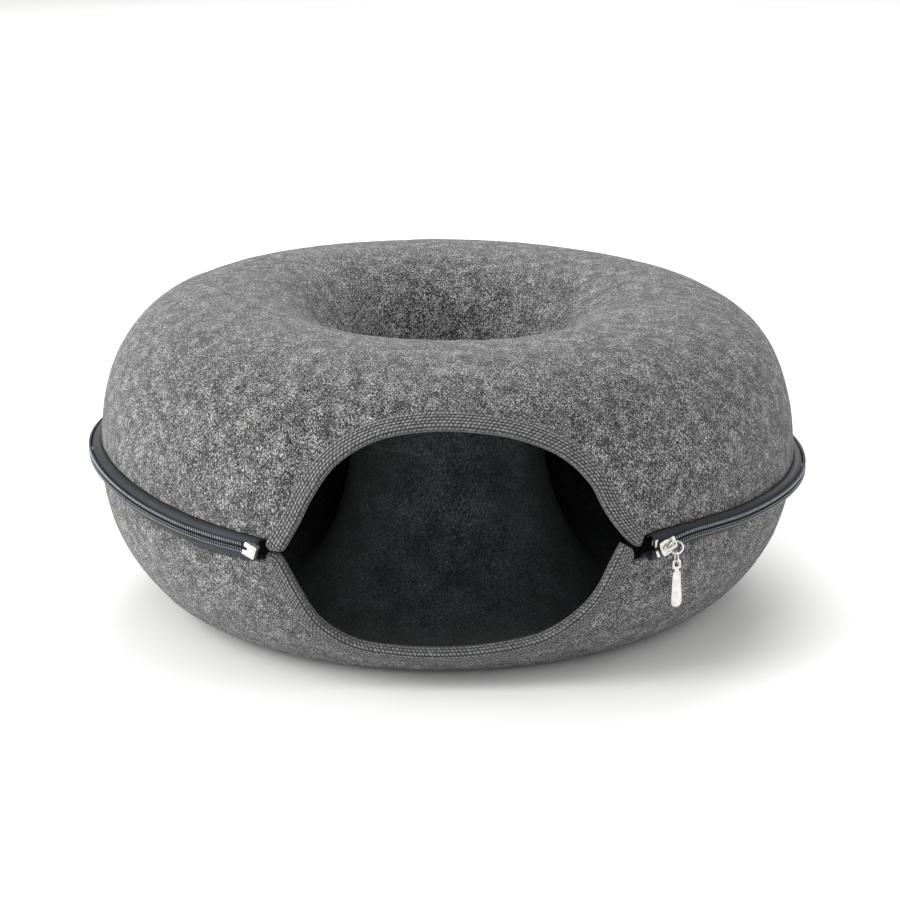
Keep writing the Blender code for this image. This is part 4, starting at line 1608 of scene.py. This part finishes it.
    def bridge(self, at: Matrix, plate_out: float) -> bpy.types.Mesh:
        """The arched strap over the slider.

        Args:
            at: the slider's frame.
            plate_out: how far out the shield's face stands.

        Returns:
            The strap's mesh.
        """
        foot, rise = plate_out - 0.0003, self.bridge_rise + 0.0003
        turn = np.linspace(0.0, math.pi, 25)
        arch = np.clip(np.sin(turn), 0.0, 1.0) ** 0.8
        outer = list(zip(-self.bridge_reach * np.cos(turn), foot + (rise + self.bridge_thickness) * arch))
        inner = list(zip(-self.bridge_reach * 0.76 * np.cos(turn), foot + rise * arch))
        turn_up = Matrix(((1, 0, 0, 0), (0, -1, 0, 0), (0, 0, 1, 0), (0, 0, 0, 1)))
        return stamped("bridge", [outer + inner[::-1]], self.bridge_width, 0.00025, at @ turn_up)

    def pull(self) -> None:
        """Make the ring through the bridge, the link below it and the tab."""
        at = self.ring.zip_frame(self.slider_bearing, self.slider_tilt)
        along, inward, up = (at.to_3x3() @ Vector(axis) for axis in ((1, 0, 0), (0, 1, 0), (0, 0, 1)))
        clear, half = self.chain.clearance, self.link_half
        out = self.chain.coil_face() + clear + self.slider_plate + self.ring_depth
        lean, tilt_out = math.radians(self.ring_lean), math.radians(self.ring_tilt_out)
        sideways = along * math.cos(lean) - up * math.sin(lean)
        hang = sideways * math.cos(tilt_out) - inward * math.sin(tilt_out)
        across = along * math.sin(lean) + up * math.cos(lean)
        centre = at @ Vector((0.0, -out, 0.0)) + hang * self.ring_radius
        round_half = (self.ring_radius, self.ring_radius)
        ring = self.loop("pull_ring_wire", centre, (across, hang), round_half, self.ring_wire)
        settle("pull_ring_wire", ring, "pull_ring", "nickel_plate", METAL)
        down = (across * -across.z + hang * -hang.z).normalized()
        facing = math.radians(self.tab_facing)
        front, floorward = Vector((math.sin(facing), -math.cos(facing), 0.0)), Vector((0.0, 0.0, -1.0))
        drop = self.ring_wire + clear + self.link_wire - half[1]
        middle = centre + down * self.ring_radius - floorward * drop
        link = self.loop("pull_link_wire", middle, (front, floorward), half, self.link_wire)
        settle("pull_link_wire", link, "pull_link", "nickel_plate", METAL)
        top = middle.z - half[1] + self.link_wire + 2 * clear + self.tab_head[2]
        self.tab(Vector((middle.x, middle.y, top)))

    def loop(self, name: str, centre: Vector, axes: tuple, half: tuple, thick: float) -> bpy.types.Mesh:
        """An oval of round wire.

        Args:
            name: mesh name.
            centre: its centre.
            axes: unit vectors of its two half sizes.
            half: both half sizes.
            thick: the wire's radius.

        Returns:
            The wire's mesh.
        """
        across, down = axes
        turn = np.linspace(0.0, 2 * math.pi, 56, endpoint=False)
        spokes = np.outer(np.cos(turn) * half[0], across) + np.outer(np.sin(turn) * half[1], down)
        return wire(name, np.array(centre) + spokes, across.cross(down).normalized(), thick)

    def tab(self, top: Vector) -> None:
        """Make the flat tab, with a square eye, a neck, and a raised rim round its plate.

        Args:
            top: middle of its upper edge.
        """
        head, head_high, wall = self.tab_head[0] / 2, self.tab_head[1], self.tab_head[2]
        neck, neck_high = self.tab_neck[0] / 2, self.tab_neck[1]
        long, plate, end = self.tab_plate[0], self.tab_plate[1] / 2, self.tab_plate[2] / 2
        plate_from = -head_high - neck_high
        round_at = plate_from - long + end
        turns = np.radians(-np.linspace(0.0, 90.0, 10))
        tip = [(end * math.cos(t), round_at + end * math.sin(t)) for t in turns]
        right = [(head - 0.0011, 0.0), (head, -0.0011), (head, -head_high), (neck, -head_high)]
        right += [(neck, plate_from), (plate, plate_from), *tip[:-1]]
        outline = right + [tip[-1]] + [(-x, z) for x, z in reversed(right)]
        eye = rounded_outline(rectangle(wall - head, wall - head_high, head - wall, -wall), 0.0005)
        at = Matrix.Translation(top) @ Matrix.Rotation(math.radians(self.tab_facing), 4, "Z")
        flat = stamped("tab_flat", [outline, eye], self.tab_thickness, 0.0003, self.facing_out(at, 0.0))
        rim_side = [(plate - 0.0004, plate_from - 0.0006), *[(x * 0.9, z + 0.0003) for x, z in tip[:-1]]]
        rim = rim_side + [(0.0, round_at - end * 0.9)] + [(-x, z) for x, z in reversed(rim_side)]
        normal = (at.to_3x3() @ Vector((0.0, -1.0, 0.0))).normalized()
        rims = []
        for depth in (-self.tab_thickness / 2, self.tab_thickness / 2):
            centres = np.array([at @ Vector((x, -depth, z)) for x, z in rounded_outline(rim, 0.0006)])
            rims.append(wire("tab_rim", centres, normal, 0.00028, 8))
        self.metal("pull_tab_plate", "pull_tab", flat, *rims)

    def build(self) -> None:
        """Make every metal part."""
        self.retainer_box()
        for half in Half:
            self.end_clip(half)
        self.slider()
        self.pull()


# ---------------------------------------------------------------- studio


@dataclass
class Studio:
    """A pale floor, soft light and the camera."""

    target: tuple[float, float, float] = (0.0, -0.0118, 0.1)
    distance: float = 2.2
    elevation: float = 16.67
    roll: float = -0.63
    lens: float = 123.41
    shift: tuple[float, float] = (0.00176, 0.0003)
    floor_colour: str = "#f6f6f5"
    lights: tuple = (
        # (name, place, size, watts)
        ("top_light", (-0.3, -0.5, 2.2), 1.8, 13.0),
        ("front_light", (0.1, -2.4, 0.9), 1.2, 9.0),
        ("left_light", (-2.2, -0.6, 1.2), 2.2, 74.0),
        ("right_light", (2.2, -0.4, 1.1), 2.0, 15.0),
        ("back_light", (0.3, 2.0, 1.8), 2.0, 62.0),
    )
    world_strength: float = 0.45
    floor_half: float = 30.0

    def floor(self) -> None:
        """Lay the floor."""
        mesh = bpy.data.meshes.new("floor")
        wide = self.floor_half
        corners = [(*corner, -0.0002) for corner in rectangle(-wide, -wide, wide, wide)]
        mesh.from_pydata(corners, [], [(0, 1, 2, 3)])
        plain = (self.floor_colour, self.floor_colour)
        card = SpeckledFinish("floor_card", *plain, 40.0, (0.75, 0.8), specular=0.2)
        put("floor", mesh, card.build())

    def light(self) -> None:
        """Set the lights and the surrounding glow."""
        world = bpy.data.worlds.new("glow")
        world.use_nodes = True
        world.node_tree.nodes["Background"].inputs[0].default_value = (1.0, 1.0, 1.0, 1.0)
        world.node_tree.nodes["Background"].inputs[1].default_value = self.world_strength
        bpy.context.scene.world = world
        bpy.context.scene.view_settings.view_transform = "Standard"
        for name, place, size, watts in self.lights:
            lamp = bpy.data.lights.new(name, "AREA")
            lamp.size = size
            lamp.energy = watts
            carrier = bpy.data.objects.new(name, lamp)
            carrier.location = place
            aim = Vector(self.target) - Vector(place)
            carrier.rotation_euler = aim.to_track_quat("-Z", "Y").to_euler()
            bpy.context.scene.collection.objects.link(carrier)

    def camera(self) -> None:
        """Set the camera."""
        data = bpy.data.cameras.new("camera")
        data.sensor_width = 36.0
        data.lens = self.lens
        data.shift_x, data.shift_y = self.shift
        carrier = bpy.data.objects.new("camera", data)
        lift = math.radians(self.elevation)
        offset = Vector((0.0, -math.cos(lift), math.sin(lift))) * self.distance
        look = (-offset).to_track_quat("-Z", "Y").to_matrix().to_4x4()
        roll = Matrix.Rotation(math.radians(self.roll), 4, "Z")
        carrier.matrix_world = Matrix.Translation(Vector(self.target) + offset) @ look @ roll
        bpy.context.scene.collection.objects.link(carrier)
        bpy.context.scene.camera = carrier


def main() -> None:
    """Build every piece in order."""
    logging.basicConfig(level=logging.INFO, format="%(name)s: %(message)s")
    studio = Studio()
    studio.camera()
    studio.light()
    studio.floor()
    ring = Ring()
    door = Doorway(ring)
    for half in Half:
        MouldedFelt(ring, door, half).build()
    BoundEdge(ring, door, Half.UPPER, True).build()
    BoundEdge(ring, door, Half.LOWER, False).build()
    chain = ZipChain(ring)
    chain.build()
    ZipHardware(ring, chain).build()


if __name__ == "__main__":
    main()
